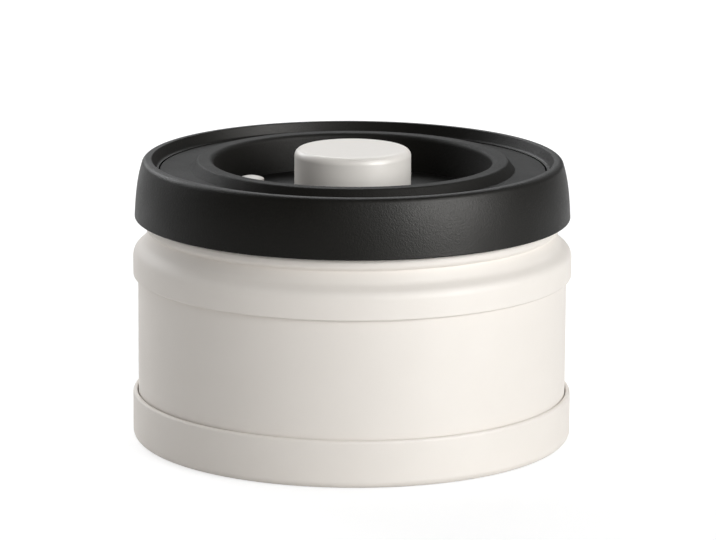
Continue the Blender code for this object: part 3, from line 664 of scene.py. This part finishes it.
def makeTube(v):
    # A plain tube with square ends.
    radius, low, high = span("body_tube")
    inner = radius - v["wall"]
    line = rounded([(radius, low, 0), (radius, high, 0), (inner, high, 0), (inner, low, 0)])
    dress(turned("tubeWall", line, "shell"), "body_tube")


capValues = {
    "wall": 1.2 * mm, "floor": 2.4 * mm, "recess": 1.2 * mm, "foot": 8.5 * mm,
    "footFillet": 2.0 * mm, "topFillet": 0.9 * mm, "boreEdge": 0.12 * mm, "padEdge": 0.25 * mm,
}


def makeCap(v):
    # A cup with a recess for the pad in its underside.
    radius, low, high = span("base_cap")
    bore, pad = radius - v["wall"], radius - v["foot"]
    recess, floor = low + v["recess"], low + v["floor"]
    line = rounded([
        (0, recess, 0), (pad, recess, 0), (pad, low, v["padEdge"]), (radius, low, v["footFillet"]),
        (radius, high, v["topFillet"]), (bore, high, v["boreEdge"]), (bore, floor, 0), (0, floor, 0),
    ], closed=False)
    dress(turned("baseCap", line, "shell"), "base_cap")


padValues = {
    "edge": 0.35 * mm, "groove": 0.3 * mm, "grooveWidth": 1.0 * mm, "grooveEdge": 0.1 * mm,
    "grooveRadii": (47 * mm, 30 * mm, 13 * mm),
}


def makePad(v):
    # A disc whose underside has shallow rings.
    radius, low, high = span("base_pad")
    corners = [(0, high, 0), (radius, high, 0), (radius, low, v["edge"])]
    half, top, edge = v["grooveWidth"] / 2, low + v["groove"], v["grooveEdge"]
    for groove in v["grooveRadii"]:
        corners += [(groove + half, low, edge), (groove + half, top, edge),
                    (groove - half, top, edge), (groove - half, low, edge)]
    line = rounded(corners + [(0, low, 0)], closed=False)
    dress(turned("basePad", line, "inside"), "base_pad")


collarValues = {
    "wall": 1.1 * mm, "shoulder": 5.4 * mm, "kneeShares": (0.602, 0.426), "inset": 0.07 * mm,
    "lift": 0.2 * mm, "crestFillet": 3.2 * mm, "kneeFillet": 4.0 * mm, "neck": 1.0 * mm,
    "groove": 0.4 * mm, "grooveFillet": 0.25 * mm, "beadWidth": 2.3 * mm, "beadHeight": 3.2 * mm,
    "beadEdge": 0.12 * mm, "beadFillet": 1.2 * mm, "lipFillet": 0.8 * mm, "boreInset": 5.7 * mm,
    "innerFillet": 0.4 * mm, "edge": 0.5 * mm,
}


def makeCollar(v):
    # Band, shoulder with a knee, groove and bead, from one sheet that rolls over at the mouth.
    radius, low, high = span("top_collar")
    bore = radius - v["boreInset"]
    neck, bead = bore + v["neck"], bore + v["beadWidth"]
    beadLow = high - v["beadHeight"]
    neckTop = beadLow - v["groove"]
    crest = neckTop - v["shoulder"]
    reach = radius - neck
    kneeRadius = radius - v["kneeShares"][0] * reach
    kneeHeight = crest + v["kneeShares"][1] * v["shoulder"]
    band = radius - v["inset"]
    shoulder = [
        (band, low + v["lift"], v["edge"]), (band, crest, v["crestFillet"]),
        (kneeRadius, kneeHeight, v["kneeFillet"]), (neck, neckTop, v["grooveFillet"]),
    ]
    inside = thick(shoulder, v["wall"])[len(shoulder):]
    slope = (neckTop - kneeHeight) / (kneeRadius - neck)
    innerFoot = inside[0][1] + slope * (inside[0][0] - bore)
    top = [
        (neck, beadLow, v["beadEdge"]), (bead, beadLow, v["beadFillet"]), (bead, high, v["beadFillet"]),
        (bore, high, v["lipFillet"]), (bore, innerFoot, v["innerFillet"]),
    ]
    dress(turned("topCollar", rounded(shoulder + top + inside[1:]), "shell"), "top_collar")


cupValues = {"wall": 0.8 * mm, "corner": 6.0 * mm, "edge": 0.3 * mm}


def makeCup(v):
    # A cup of even wall, worked out from its inside.
    radius, low, high = span("inner_cup")
    inner, floor = radius - v["wall"], low + v["wall"]
    inside = [(0, floor, 0), (inner, floor, v["corner"]), (inner, high, v["edge"])]
    line = rounded(thick(inside, -v["wall"]), closed=False)
    dress(turned("innerCup", line, "inside"), "inner_cup")


makeTube(tubeValues)
makeCap(capValues)
makePad(padValues)
makeCollar(collarValues)
makeCup(cupValues)
print("the can is turned")


# Lid

rimValues = {
    "taper": 2.4 * mm, "bendShare": 0.67, "wall": 2.0 * mm, "skirtWall": 2.2 * mm, "width": 6.6 * mm,
    "crown": 0.22 * mm, "depth": 3.2 * mm, "lean": 1.9 * mm, "outerFillet": 1.8 * mm,
    "innerFillet": 0.35 * mm, "lowerFillet": 0.3 * mm, "lowerEdge": 0.2 * mm,
    "shelf": 0.5 * mm, "shelfRise": 0.5 * mm, "shelfFillet": 0.8 * mm, "shelfEdge": 0.1 * mm,
    "ledge": 3.3 * mm, "ledgeEdge": 0.2 * mm, "gap": 0.3 * mm, "flange": 2.3 * mm, "steps": 14,
}


def makeRim(v):
    # Skirt, rounded rim and sloping inner wall. The skirt's radius falls by the taper times a blend of t and
    # t cubed, where t goes from 0 at its lower edge to 1 at the rim.
    radius, low, high = span("lid_rim")
    foot = radius - v["width"]
    floor = high - v["depth"]
    shelf = floor + v["shelfRise"]
    ledge = floor - v["wall"] - v["gap"]
    ledgeLow, ledgeInner = ledge - v["wall"], foot - v["ledge"]
    hollow = high - v["wall"]
    crown = high + v["crown"]
    skirtInner = radius - v["skirtWall"]
    flange = low + v["flange"]

    def skirtAt(share):
        return radius - v["taper"] * ((1 - v["bendShare"]) * share + v["bendShare"] * share ** 3)

    t = np.arange(2, v["steps"] - 1) / v["steps"]       # the steps at the ends give way to the fillets
    hollowOuter = skirtAt((hollow - low) / (high - low)) - v["skirtWall"]
    corners = [(skirtInner, low, v["lowerEdge"]), (radius, low, v["lowerFillet"])]
    corners += [(r, low + (high - low) * share, 0) for r, share in zip(skirtAt(t), t)]
    corners += [
        (radius - v["taper"], crown, v["outerFillet"]), (foot + v["lean"], crown, v["innerFillet"]),
        (foot + v["shelf"], shelf, v["shelfFillet"]), (foot, shelf, v["shelfEdge"]),
        (foot, ledge, 0), (ledgeInner, ledge, 0), (ledgeInner, ledgeLow, v["ledgeEdge"]),
        (foot, ledgeLow, v["ledgeEdge"]), (foot, flange, 0), (foot + v["wall"], flange, 0),
        (foot + v["wall"], hollow, 0), (hollowOuter, hollow, 0), (skirtInner, flange, 0),
    ]
    dress(turned("lidRim", rounded(corners), "shell"), "lid_rim")


topValues = {
    "wall": 2.0 * mm, "deck": 5.1 * mm, "seam": 0.4 * mm, "troughFillet": 0.2 * mm,
    "ringWidth": 6.15 * mm, "ringLean": 1.95 * mm, "ringRise": 2.65 * mm, "ringFillet": 0.8 * mm,
    "footFillet": 0.15 * mm, "lipFillet": 1.5 * mm, "wellDepth": 9.9 * mm, "wellLean": 1.5 * mm,
    "wellFillet": 0.15 * mm, "holeEdge": 0.3 * mm, "underFillet": 0.5 * mm, "buttonGap": 0.35 * mm,
    "wellShare": 0.3883,    # where the well's edge lies between the vent button and the ring's inner limit
    "screwCount": 4, "boss": 2.6 * mm, "pilot": 1.4 * mm, "pilotSpare": 1.0 * mm,
}


def makeLidTop(v):
    # Trough, raised ring and well in one moulding of even wall.
    low, high = levels("lid_top")
    rimFoot = span("lid_rim")[0] - rimValues["width"]
    floor = high - v["ringRise"]
    underside, inside = high - v["deck"], high - v["wall"]
    outer = rimFoot - v["seam"]
    ventEdge = math.hypot(*ventPlace()) + ventValues["radius"]
    well = ventEdge + v["wellShare"] * (rimFoot - v["ringWidth"] - ventEdge)
    wellOuter = well + v["wall"]
    ringFoot = well + v["ringWidth"]
    ringOuter = ringFoot - v["ringLean"]
    wellFloor = high - v["wellDepth"]
    wellUnder = wellFloor - v["wall"]
    hole = span("pump_button")[0] + v["buttonGap"]
    corners = [
        (outer, underside, 0), (outer, floor, v["troughFillet"]), (ringFoot, floor, v["footFillet"]),
        (ringOuter, high, v["ringFillet"]), (well, high, v["lipFillet"]),
        (well - v["wellLean"], wellFloor, v["wellFillet"]), (hole, wellFloor, v["holeEdge"]),
        (hole, wellUnder, 0), (wellOuter, wellUnder, v["underFillet"]), (wellOuter, inside, 0),
        (ringOuter - v["wall"] / 2, inside, 0), (ringFoot - v["wall"], underside, 0),
    ]
    lidTop = turned("lidTop", rounded(corners), "shell")
    ventHole = bar(ventValues["radius"] + v["buttonGap"], wellUnder - spare, wellFloor + spare)
    carve(lidTop, "DIFFERENCE", turned("holes", ventHole, "small", [ventPlace()]))
    boss = bar(v["boss"], low, underside + overlap)
    carve(lidTop, "UNION", turned("bosses", boss, "tiny", screwPlaces()))
    pilot = bar(v["pilot"], low - spare, levels("lid_screw_1")[1] + v["pilotSpare"])
    carve(lidTop, "DIFFERENCE", turned("pilots", pilot, "tiny", screwPlaces()))
    dress(lidTop, "lid_top")


buttonValues = {
    "fillet": 2.0 * mm, "wall": 1.8 * mm, "top": 2.2 * mm, "lowEdge": 0.2 * mm, "innerFillet": 0.6 * mm,
    "breather": 1.3 * mm, "breatherHeight": 1.2 * mm, "breathers": 4,
}


def makeButton(v):
    # A cap with notches in its lower edge, where the pumped air gets out.
    radius, low, high = span("pump_button")
    inner, ceiling = radius - v["wall"], high - v["top"]
    line = rounded([
        (0, high, 0), (radius, high, v["fillet"]), (radius, low, v["lowEdge"]), (inner, low, 0),
        (inner, ceiling, v["innerFillet"]), (0, ceiling, 0),
    ], closed=False)
    button = turned("pumpButton", line, "inside")
    notch = bar(v["breather"], low - spare, low + v["breatherHeight"])
    places = ring(v["breathers"], (radius + inner) / 2)
    carve(button, "DIFFERENCE", turned("breathers", notch, "tiny", places))
    dress(button, "pump_button")


ventValues = {
    "radius": 3.55 * mm, "dome": 0.8 * mm, "domeSteps": 14, "edge": 0.35 * mm, "flange": 1.2 * mm,
    "flangeReach": 1.4 * mm, "rootFillet": 0.15 * mm, "flangeFillet": 0.2 * mm,
    "socket": 1.35 * mm, "socketDepth": 3.5 * mm,
}


def makeVentButton(v):
    # A dome of one sphere: its radius is (r squared + h squared) / 2h for a cap of radius r and height h. The
    # arc's last steps give way to the fillet of its edge.
    low, high = levels("vent_button")
    radius, dome = v["radius"], v["dome"]
    sphere = (radius ** 2 + dome ** 2) / (2 * dome)
    angles = np.linspace(0, math.asin(radius / sphere), v["domeSteps"])
    arc = np.stack([sphere * np.sin(angles), high - sphere * (1 - np.cos(angles))], 1)
    flange, flangeTop, socketTop = radius + v["flangeReach"], low + v["flange"], low + v["socketDepth"]
    corners = [
        (*arc[-3], 0), (*arc[-1], v["edge"]), (radius, flangeTop, v["rootFillet"]),
        (flange, flangeTop, v["flangeFillet"]), (flange, low, v["flangeFillet"]), (v["socket"], low, 0),
        (v["socket"], socketTop, 0), (0, socketTop, 0),
    ]
    line = np.concatenate([arc[:-3], rounded(corners, closed=False)])
    dress(turned("ventButton", line, "small", [ventPlace()]), "vent_button")


makeRim(rimValues)
makeLidTop(topValues)
makeButton(buttonValues)
makeVentButton(ventValues)
print("the lid is turned")


# Lid, below the deck

plugValues = {
    "flange": 2.0 * mm, "wall": 1.8 * mm, "plate": 2.0 * mm, "fillet": 2.0 * mm, "cupGap": 2.4 * mm,
    "edge": 0.25 * mm, "plateFillet": 1.0 * mm, "ribReach": 1.4 * mm, "ribDrop": 3.1 * mm,
    "rib": 1.2 * mm, "groove": 4.8 * mm, "post": 3.0 * mm, "postHeight": 8.0 * mm,
    "headHole": 2.4 * mm, "headDepth": 4.0 * mm, "screwHole": 1.4 * mm,
    "ventTube": 3.2 * mm, "ventBore": 1.4 * mm, "spigotHole": 10.3 * mm,
}


def plugRadius():
    return span("inner_cup")[0] - cupValues["wall"] - plugValues["cupGap"]


def makePlug(v):
    # Flanged cup with two ribs outside and posts for the screws and the vent's stem inside.
    radius, low, high = span("lid_plug")
    outer, edge = plugRadius(), v["edge"]
    inner, plate, under = outer - v["wall"], low + v["plate"], high - v["flange"]
    rib = outer + v["ribReach"]
    upper = under - v["ribDrop"]
    grooveTop = upper - v["rib"]
    grooveLow = grooveTop - v["groove"]
    lower = grooveLow - v["rib"]
    corners = [
        (radius, high, edge), (radius, under, edge), (outer, under, edge), (outer, upper, edge),
        (rib, upper, edge), (rib, grooveTop, edge), (outer, grooveTop, 0), (outer, grooveLow, 0),
        (rib, grooveLow, edge), (rib, lower, edge), (outer, lower, edge), (outer, low, v["fillet"]),
        (v["spigotHole"], low, edge), (v["spigotHole"], plate, 0), (inner, plate, v["plateFillet"]),
        (inner, high, edge),
    ]
    lidPlug = turned("lidPlug", rounded(corners), "inside")
    postTop = plate + v["postHeight"]
    post = bar(v["post"], plate - overlap, postTop)
    carve(lidPlug, "UNION", turned("posts", post, "tiny", screwPlaces()))
    tube = bar(v["ventTube"], plate - overlap, postTop)
    carve(lidPlug, "UNION", turned("tube", tube, "tiny", [ventPlace()]))
    seat = low + v["headDepth"]
    stepped = [(0, low - spare), (v["headHole"], low - spare), (v["headHole"], seat),
               (v["screwHole"], seat), (v["screwHole"], postTop + spare), (0, postTop + spare)]
    carve(lidPlug, "DIFFERENCE", turned("screwHoles", stepped, "tiny", screwPlaces()))
    bore = bar(v["ventBore"], low - spare, postTop + spare)
    carve(lidPlug, "DIFFERENCE", turned("ventBore", bore, "tiny", [ventPlace()]))
    dress(lidPlug, "lid_plug")


gasketValues = {
    "gap": 0.3 * mm, "back": 1.0 * mm, "edge": 0.3 * mm, "root": 0.15 * mm, "tip": 0.2 * mm,
    "lipShares": ((0.12, 0.30, 0.46), (0.60, 0.78, 0.94)),   # heights of each lip's foot, tip and foot
}


def makeGasket(v):
    # A band with two lips that taper outwards.
    tip, low, high = span("lid_gasket")
    back = plugRadius() + v["gap"]
    body = back + v["back"]
    corners = [(back, low, v["root"]), (body, low, v["edge"])]
    for shares in v["lipShares"]:
        foot, point, end = (low + share * (high - low) for share in shares)
        corners += [(body, foot, v["root"]), (tip, point, v["tip"]), (body, end, v["root"])]
    corners += [(body, high, v["edge"]), (back, high, v["root"])]
    dress(turned("lidGasket", rounded(corners), "inside"), "lid_gasket")


screwValues = {
    "head": 2.1 * mm, "headHeight": 1.6 * mm, "dome": 0.5 * mm, "domeShare": 0.62,
    "domeFillets": (0.4 * mm, 0.3 * mm), "seatEdge": 0.12 * mm,
    "shank": 1.1 * mm, "tip": 1.2 * mm, "tipRadius": 0.3 * mm,
    "thread": 0.10 * mm, "pitch": 1.0 * mm, "threadSteps": 97, "socket": 1.15 * mm, "socketDepth": 0.9 * mm,
}


def makeScrews(v):
    # The shank's radius dips between threads as the square of a sine of the height, and falls to a point at
    # its tip.
    for number, place in enumerate(screwPlaces(), 1):
        node = f"lid_screw_{number}"
        low, high = levels(node)
        seat = low + v["headHeight"]
        heights = np.linspace(seat, high - v["tip"], v["threadSteps"])[1:]
        shank = v["shank"] - v["thread"] * np.sin(math.pi * (heights - seat) / v["pitch"]) ** 2
        head = rounded([
            (0, low, 0), (v["head"] * v["domeShare"], low, v["domeFillets"][0]),
            (v["head"], low + v["dome"], v["domeFillets"][1]), (v["head"], seat, v["seatEdge"]),
            (shank[0], seat, 0),
        ], closed=False)
        line = np.concatenate([head, np.stack([shank, heights], 1), [(v["tipRadius"], high), (0, high)]])
        screw = turned(f"lidScrew{number}", line, "tiny", [place])
        socket = bar(v["socket"], low - spare, low + v["socketDepth"])
        carve(screw, "DIFFERENCE", turned("socket", socket, "hex", [place]))
        dress(screw, node)


# Pump

pumpValues = {
    "bore": 17.8 * mm, "wall": 1.6 * mm, "flange": 1.8 * mm, "floor": 2.0 * mm, "floorFillet": 0.5 * mm,
    "edge": 0.25 * mm, "spigot": 10.0 * mm, "spigotWall": 1.5 * mm, "spigotLength": 5.0 * mm,
    "filterStep": 0.6 * mm, "filterSeat": 1.2 * mm, "stemHole": 1.3 * mm,
    "port": 0.7 * mm, "portCircle": 3.1 * mm, "portCount": 5,
}


def cutPorts(obj, low, high):
    # Holes for a valve's stem and for the air that its cap covers.
    v = pumpValues
    stemHole = bar(v["stemHole"], low - spare, high + spare)
    carve(obj, "DIFFERENCE", turned("stemHole", stemHole, "tiny"))
    port = bar(v["port"], low - spare, high + spare)
    carve(obj, "DIFFERENCE", turned("ports", port, "port", ring(v["portCount"], v["portCircle"])))


def makeCylinder(v):
    # A flanged cup with a spigot below.
    radius, low, high = span("pump_cylinder")
    bore, spigot, edge, fillet = v["bore"], v["spigot"], v["edge"], v["floorFillet"]
    outer = bore + v["wall"]
    bottom = low + v["spigotLength"]
    floor = bottom + v["floor"]
    flange = high - v["flange"]
    spigotBore = spigot - v["spigotWall"]
    seat, seatTop = spigotBore + v["filterStep"], low + v["filterSeat"]
    line = rounded([
        (0, floor, 0), (bore, floor, fillet), (bore, high, edge), (radius, high, edge),
        (radius, flange, edge), (outer, flange, edge), (outer, bottom, fillet), (spigot, bottom, edge),
        (spigot, low, edge), (seat, low, 0), (seat, seatTop, 0), (spigotBore, seatTop, 0),
        (spigotBore, bottom, edge), (0, bottom, 0),
    ], closed=False)
    cylinder = turned("pumpCylinder", line, "small")
    cutPorts(cylinder, bottom, floor)
    dress(cylinder, "pump_cylinder")


washerValues = {"width": 4.7 * mm, "edge": 0.25 * mm}


def makeWasher(v):
    # A flat ring.
    radius, low, high = span("cylinder_washer")
    inner, edge = radius - v["width"], v["edge"]
    corners = [(radius, low, edge), (radius, high, edge), (inner, high, edge), (inner, low, edge)]
    dress(turned("cylinderWasher", rounded(corners), "small"), "cylinder_washer")


filterValues = {"hole": 0.8 * mm, "rings": ((4, 2.21 * mm), (9, 5.61 * mm)), "edge": 0.12 * mm}


def makeFilter(v):
    # A disc with two rings of pores.
    radius, low, high = span("filter_screen")
    screen = turned("filterScreen", bar(radius, low, high, v["edge"]), "small")
    places = [place for count, circle in v["rings"] for place in ring(count, circle)]
    pore = bar(v["hole"], low - spare, high + spare)
    carve(screen, "DIFFERENCE", turned("pores", pore, "pore", places))
    dress(screen, "filter_screen")


valveValues = {
    "cap": 4.8 * mm, "edge": 0.5 * mm, "crown": 1.2 * mm, "crownSteps": 12, "hollow": 0.3 * mm,
    "hollowSteps": 9, "stem": 1.0 * mm, "bulb": 1.7 * mm, "bulbHeight": 1.4 * mm,
    "bulbFillets": (0.25 * mm, 0.3 * mm),
}


def makeValve(name, node, v):
    # Umbrella valve: its crown falls with the square of the radius, from the middle to a thin edge, and its
    # underside rises with the square root of the way in. A stem and a bulb hold it.
    low, high = levels(node)
    cap, stem = v["cap"], v["stem"]
    seat = high - v["crown"]
    share = np.linspace(0, 1, v["crownSteps"])
    crown = np.stack([cap * share, high - (v["crown"] - v["edge"]) * share ** 2], 1)
    way = np.linspace(0, 1, v["hollowSteps"])
    under = np.stack([cap + (stem - cap) * way, seat + v["hollow"] * way ** 0.5], 1)
    bulbTop = low + v["bulbHeight"]
    held = rounded([
        (stem, seat + v["hollow"], 0), (stem, bulbTop, 0), (v["bulb"], bulbTop, v["bulbFillets"][0]),
        (stem, low, v["bulbFillets"][1]), (0, low, 0),
    ], closed=False)
    dress(turned(name, np.concatenate([crown, under, held[1:]]), "small"), node)


pistonValues = {
    "rim": 17.3 * mm, "height": 4.6 * mm, "groove": 15.2 * mm, "rimWidth": 1.2 * mm, "web": 1.8 * mm,
    "webFillet": 0.4 * mm, "collar": 13.9 * mm, "collarRise": 4.8 * mm, "snap": 1.4 * mm,
    "bore": 7.8 * mm, "tower": 9.4 * mm, "ceiling": 1.6 * mm, "towerFillet": 0.8 * mm, "edge": 0.2 * mm,
}


def makePiston(v):
    # A grooved rim, a collar that holds the button, and a tower over the spring.
    low, high = levels("piston")
    rim, collar, edge, fillet = v["rim"], v["collar"], v["edge"], v["webFillet"]
    top, web, ceiling = low + v["height"], low + v["web"], high - v["ceiling"]
    collarIn, collarTop = collar - v["snap"], top + v["collarRise"]
    grooveTop, grooveLow = top - v["rimWidth"], low + v["rimWidth"]
    line = rounded([
        (0, high, 0), (v["tower"], high, v["towerFillet"]), (v["tower"], web, fillet),
        (collarIn, web, fillet), (collarIn, collarTop, edge), (collar, collarTop, edge),
        (collar, top, edge), (rim, top, edge), (rim, grooveTop, edge), (v["groove"], grooveTop, 0),
        (v["groove"], grooveLow, 0), (rim, grooveLow, edge), (rim, low, edge), (v["bore"], low, edge),
        (v["bore"], ceiling, fillet), (0, ceiling, 0),
    ], closed=False)
    piston = turned("pumpPiston", line, "small")
    cutPorts(piston, ceiling, high)
    dress(piston, "piston")


sealValues = {"inner": 15.5 * mm, "neckShare": 0.45, "lip": 0.12 * mm, "notch": 0.2 * mm}


def makePistonSeal(v):
    # A ring whose underside is notched into two lips.
    radius, low, high = span("piston_seal")
    inner, lip, notch = v["inner"], v["lip"], v["notch"]
    neck = low + v["neckShare"] * (high - low)
    corners = [
        (inner, low, lip), ((inner + radius) / 2, neck, notch), (radius, low, lip),
        (radius, high, notch), (inner, high, notch),
    ]
    dress(turned("pistonSeal", rounded(corners), "small"), "piston_seal")


# Air release, below its button

stemValues = {"pin": 1.05 * mm, "head": 2.15 * mm, "headHeight": 0.8 * mm, "edge": 0.2 * mm}


def makeStem(v):
    # A pin with a wider head below.
    low, high = levels("vent_stem")
    pin, head, edge = v["pin"], v["head"], v["edge"]
    headTop = low + v["headHeight"]
    line = rounded([
        (0, high, 0), (pin, high, edge), (pin, headTop, 0), (head, headTop, edge), (head, low, edge),
        (0, low, 0),
    ], closed=False)
    dress(turned("ventStem", line, "tiny", [ventPlace()]), "vent_stem")


ventSealValues = {
    "inner": 1.35 * mm, "outer": 3.55 * mm, "chamfer": 0.4 * mm, "edge": 0.2 * mm, "innerEdge": 0.1 * mm,
}


def makeVentSeal(v):
    # A ring with a chamfer round its top.
    low, high = levels("vent_seal")
    inner, outer, chamfer, edge = v["inner"], v["outer"], v["chamfer"], v["edge"]
    corners = [
        (inner, low, v["innerEdge"]), (outer, low, edge), (outer, high - chamfer, edge),
        (outer - chamfer, high, edge), (inner, high, v["innerEdge"]),
    ]
    dress(turned("ventSeal", rounded(corners), "tiny", [ventPlace()]), "vent_seal")


# Springs

springValues = {
    "pump_spring": {"joint": "pump_press", "wire": 0.6 * mm, "turns": 7},
    "vent_spring": {"joint": "vent_press", "wire": 0.25 * mm, "turns": 5},
    "endSpace": 0.5 * mm, "steps": 40, "sides": 12,
}


def makeSpring(name, node, v):
    # A round wire along a helix: the centre line at turn t is (r cos 2 pi t, r sin 2 pi t, z), where z rises
    # by a small step in the first and last turn and evenly between them. The wire's circle lies between the
    # direction outwards and the one square to it and to the line. The share of its length that the spring
    # keeps at its joint's full travel is worked out, but nothing shortens it.
    wire, turns, sides = v[node]["wire"], v[node]["turns"], v["sides"]
    low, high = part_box(node)
    centre, radius = (low + high) / 2, (high.x - low.x) / 2 - wire
    endPitch = 2 * wire + v["endSpace"]
    pitch = (high.z - low.z - 2 * wire - 2 * endPitch) / (turns - 2)
    turn = np.linspace(0, turns, turns * v["steps"] + 1)
    free = np.clip(turn - 1, 0, turns - 2)
    angle = 2 * math.pi * turn
    level = low.z + wire + (turn - free) * endPitch + free * pitch
    line = np.stack([centre.x + radius * np.cos(angle), centre.y + radius * np.sin(angle), level], 1)
    outward = np.stack([np.cos(angle), np.sin(angle), 0 * angle], 1)
    square = np.cross(np.gradient(line, axis=0), outward)
    square /= np.linalg.norm(square, axis=1)[:, None]
    circle = np.arange(sides)[None, :, None] * 2 * math.pi / sides
    grid = line[:, None] + wire * (np.cos(circle) * outward[:, None] + np.sin(circle) * square[:, None])
    row = np.arange(len(line) - 1)[:, None] * sides
    here, there = np.arange(sides), (np.arange(sides) + 1) % sides
    quads = [row + here, row + there, row + sides + there, row + sides + here]
    faces = np.stack(quads, -1).reshape(-1, 4).tolist()
    end = len(line) * sides
    faces += [list(range(sides))[::-1], list(range(end - sides, end))]
    spring = madeObject(name, grid.reshape(-1, 3), faces)
    dress(spring, node)
    joints = {joint["name"]: joint for joint in frame["record"]["behaviour"]["joints"]}
    joint = joints[v[node]["joint"]]
    travel = max(abs(limit) for limit in joint["range_m"])
    fixed = joint["deforming_nodes"][0]["fixed_end_z_m"]
    keep = 1 - travel / (high.z - fixed)
    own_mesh(spring)


makePlug(plugValues)
makeGasket(gasketValues)
makeScrews(screwValues)
makeCylinder(pumpValues)
makeWasher(washerValues)
makeFilter(filterValues)
makeValve("inletValve", "inlet_valve", valveValues)
makeValve("outletValve", "outlet_valve", valveValues)
makePiston(pistonValues)
makePistonSeal(sealValues)
makeStem(stemValues)
makeVentSeal(ventSealValues)
makeSpring("pumpSpring", "pump_spring", springValues)
makeSpring("ventSpring", "vent_spring", springValues)
print("the pump and the air release are turned")
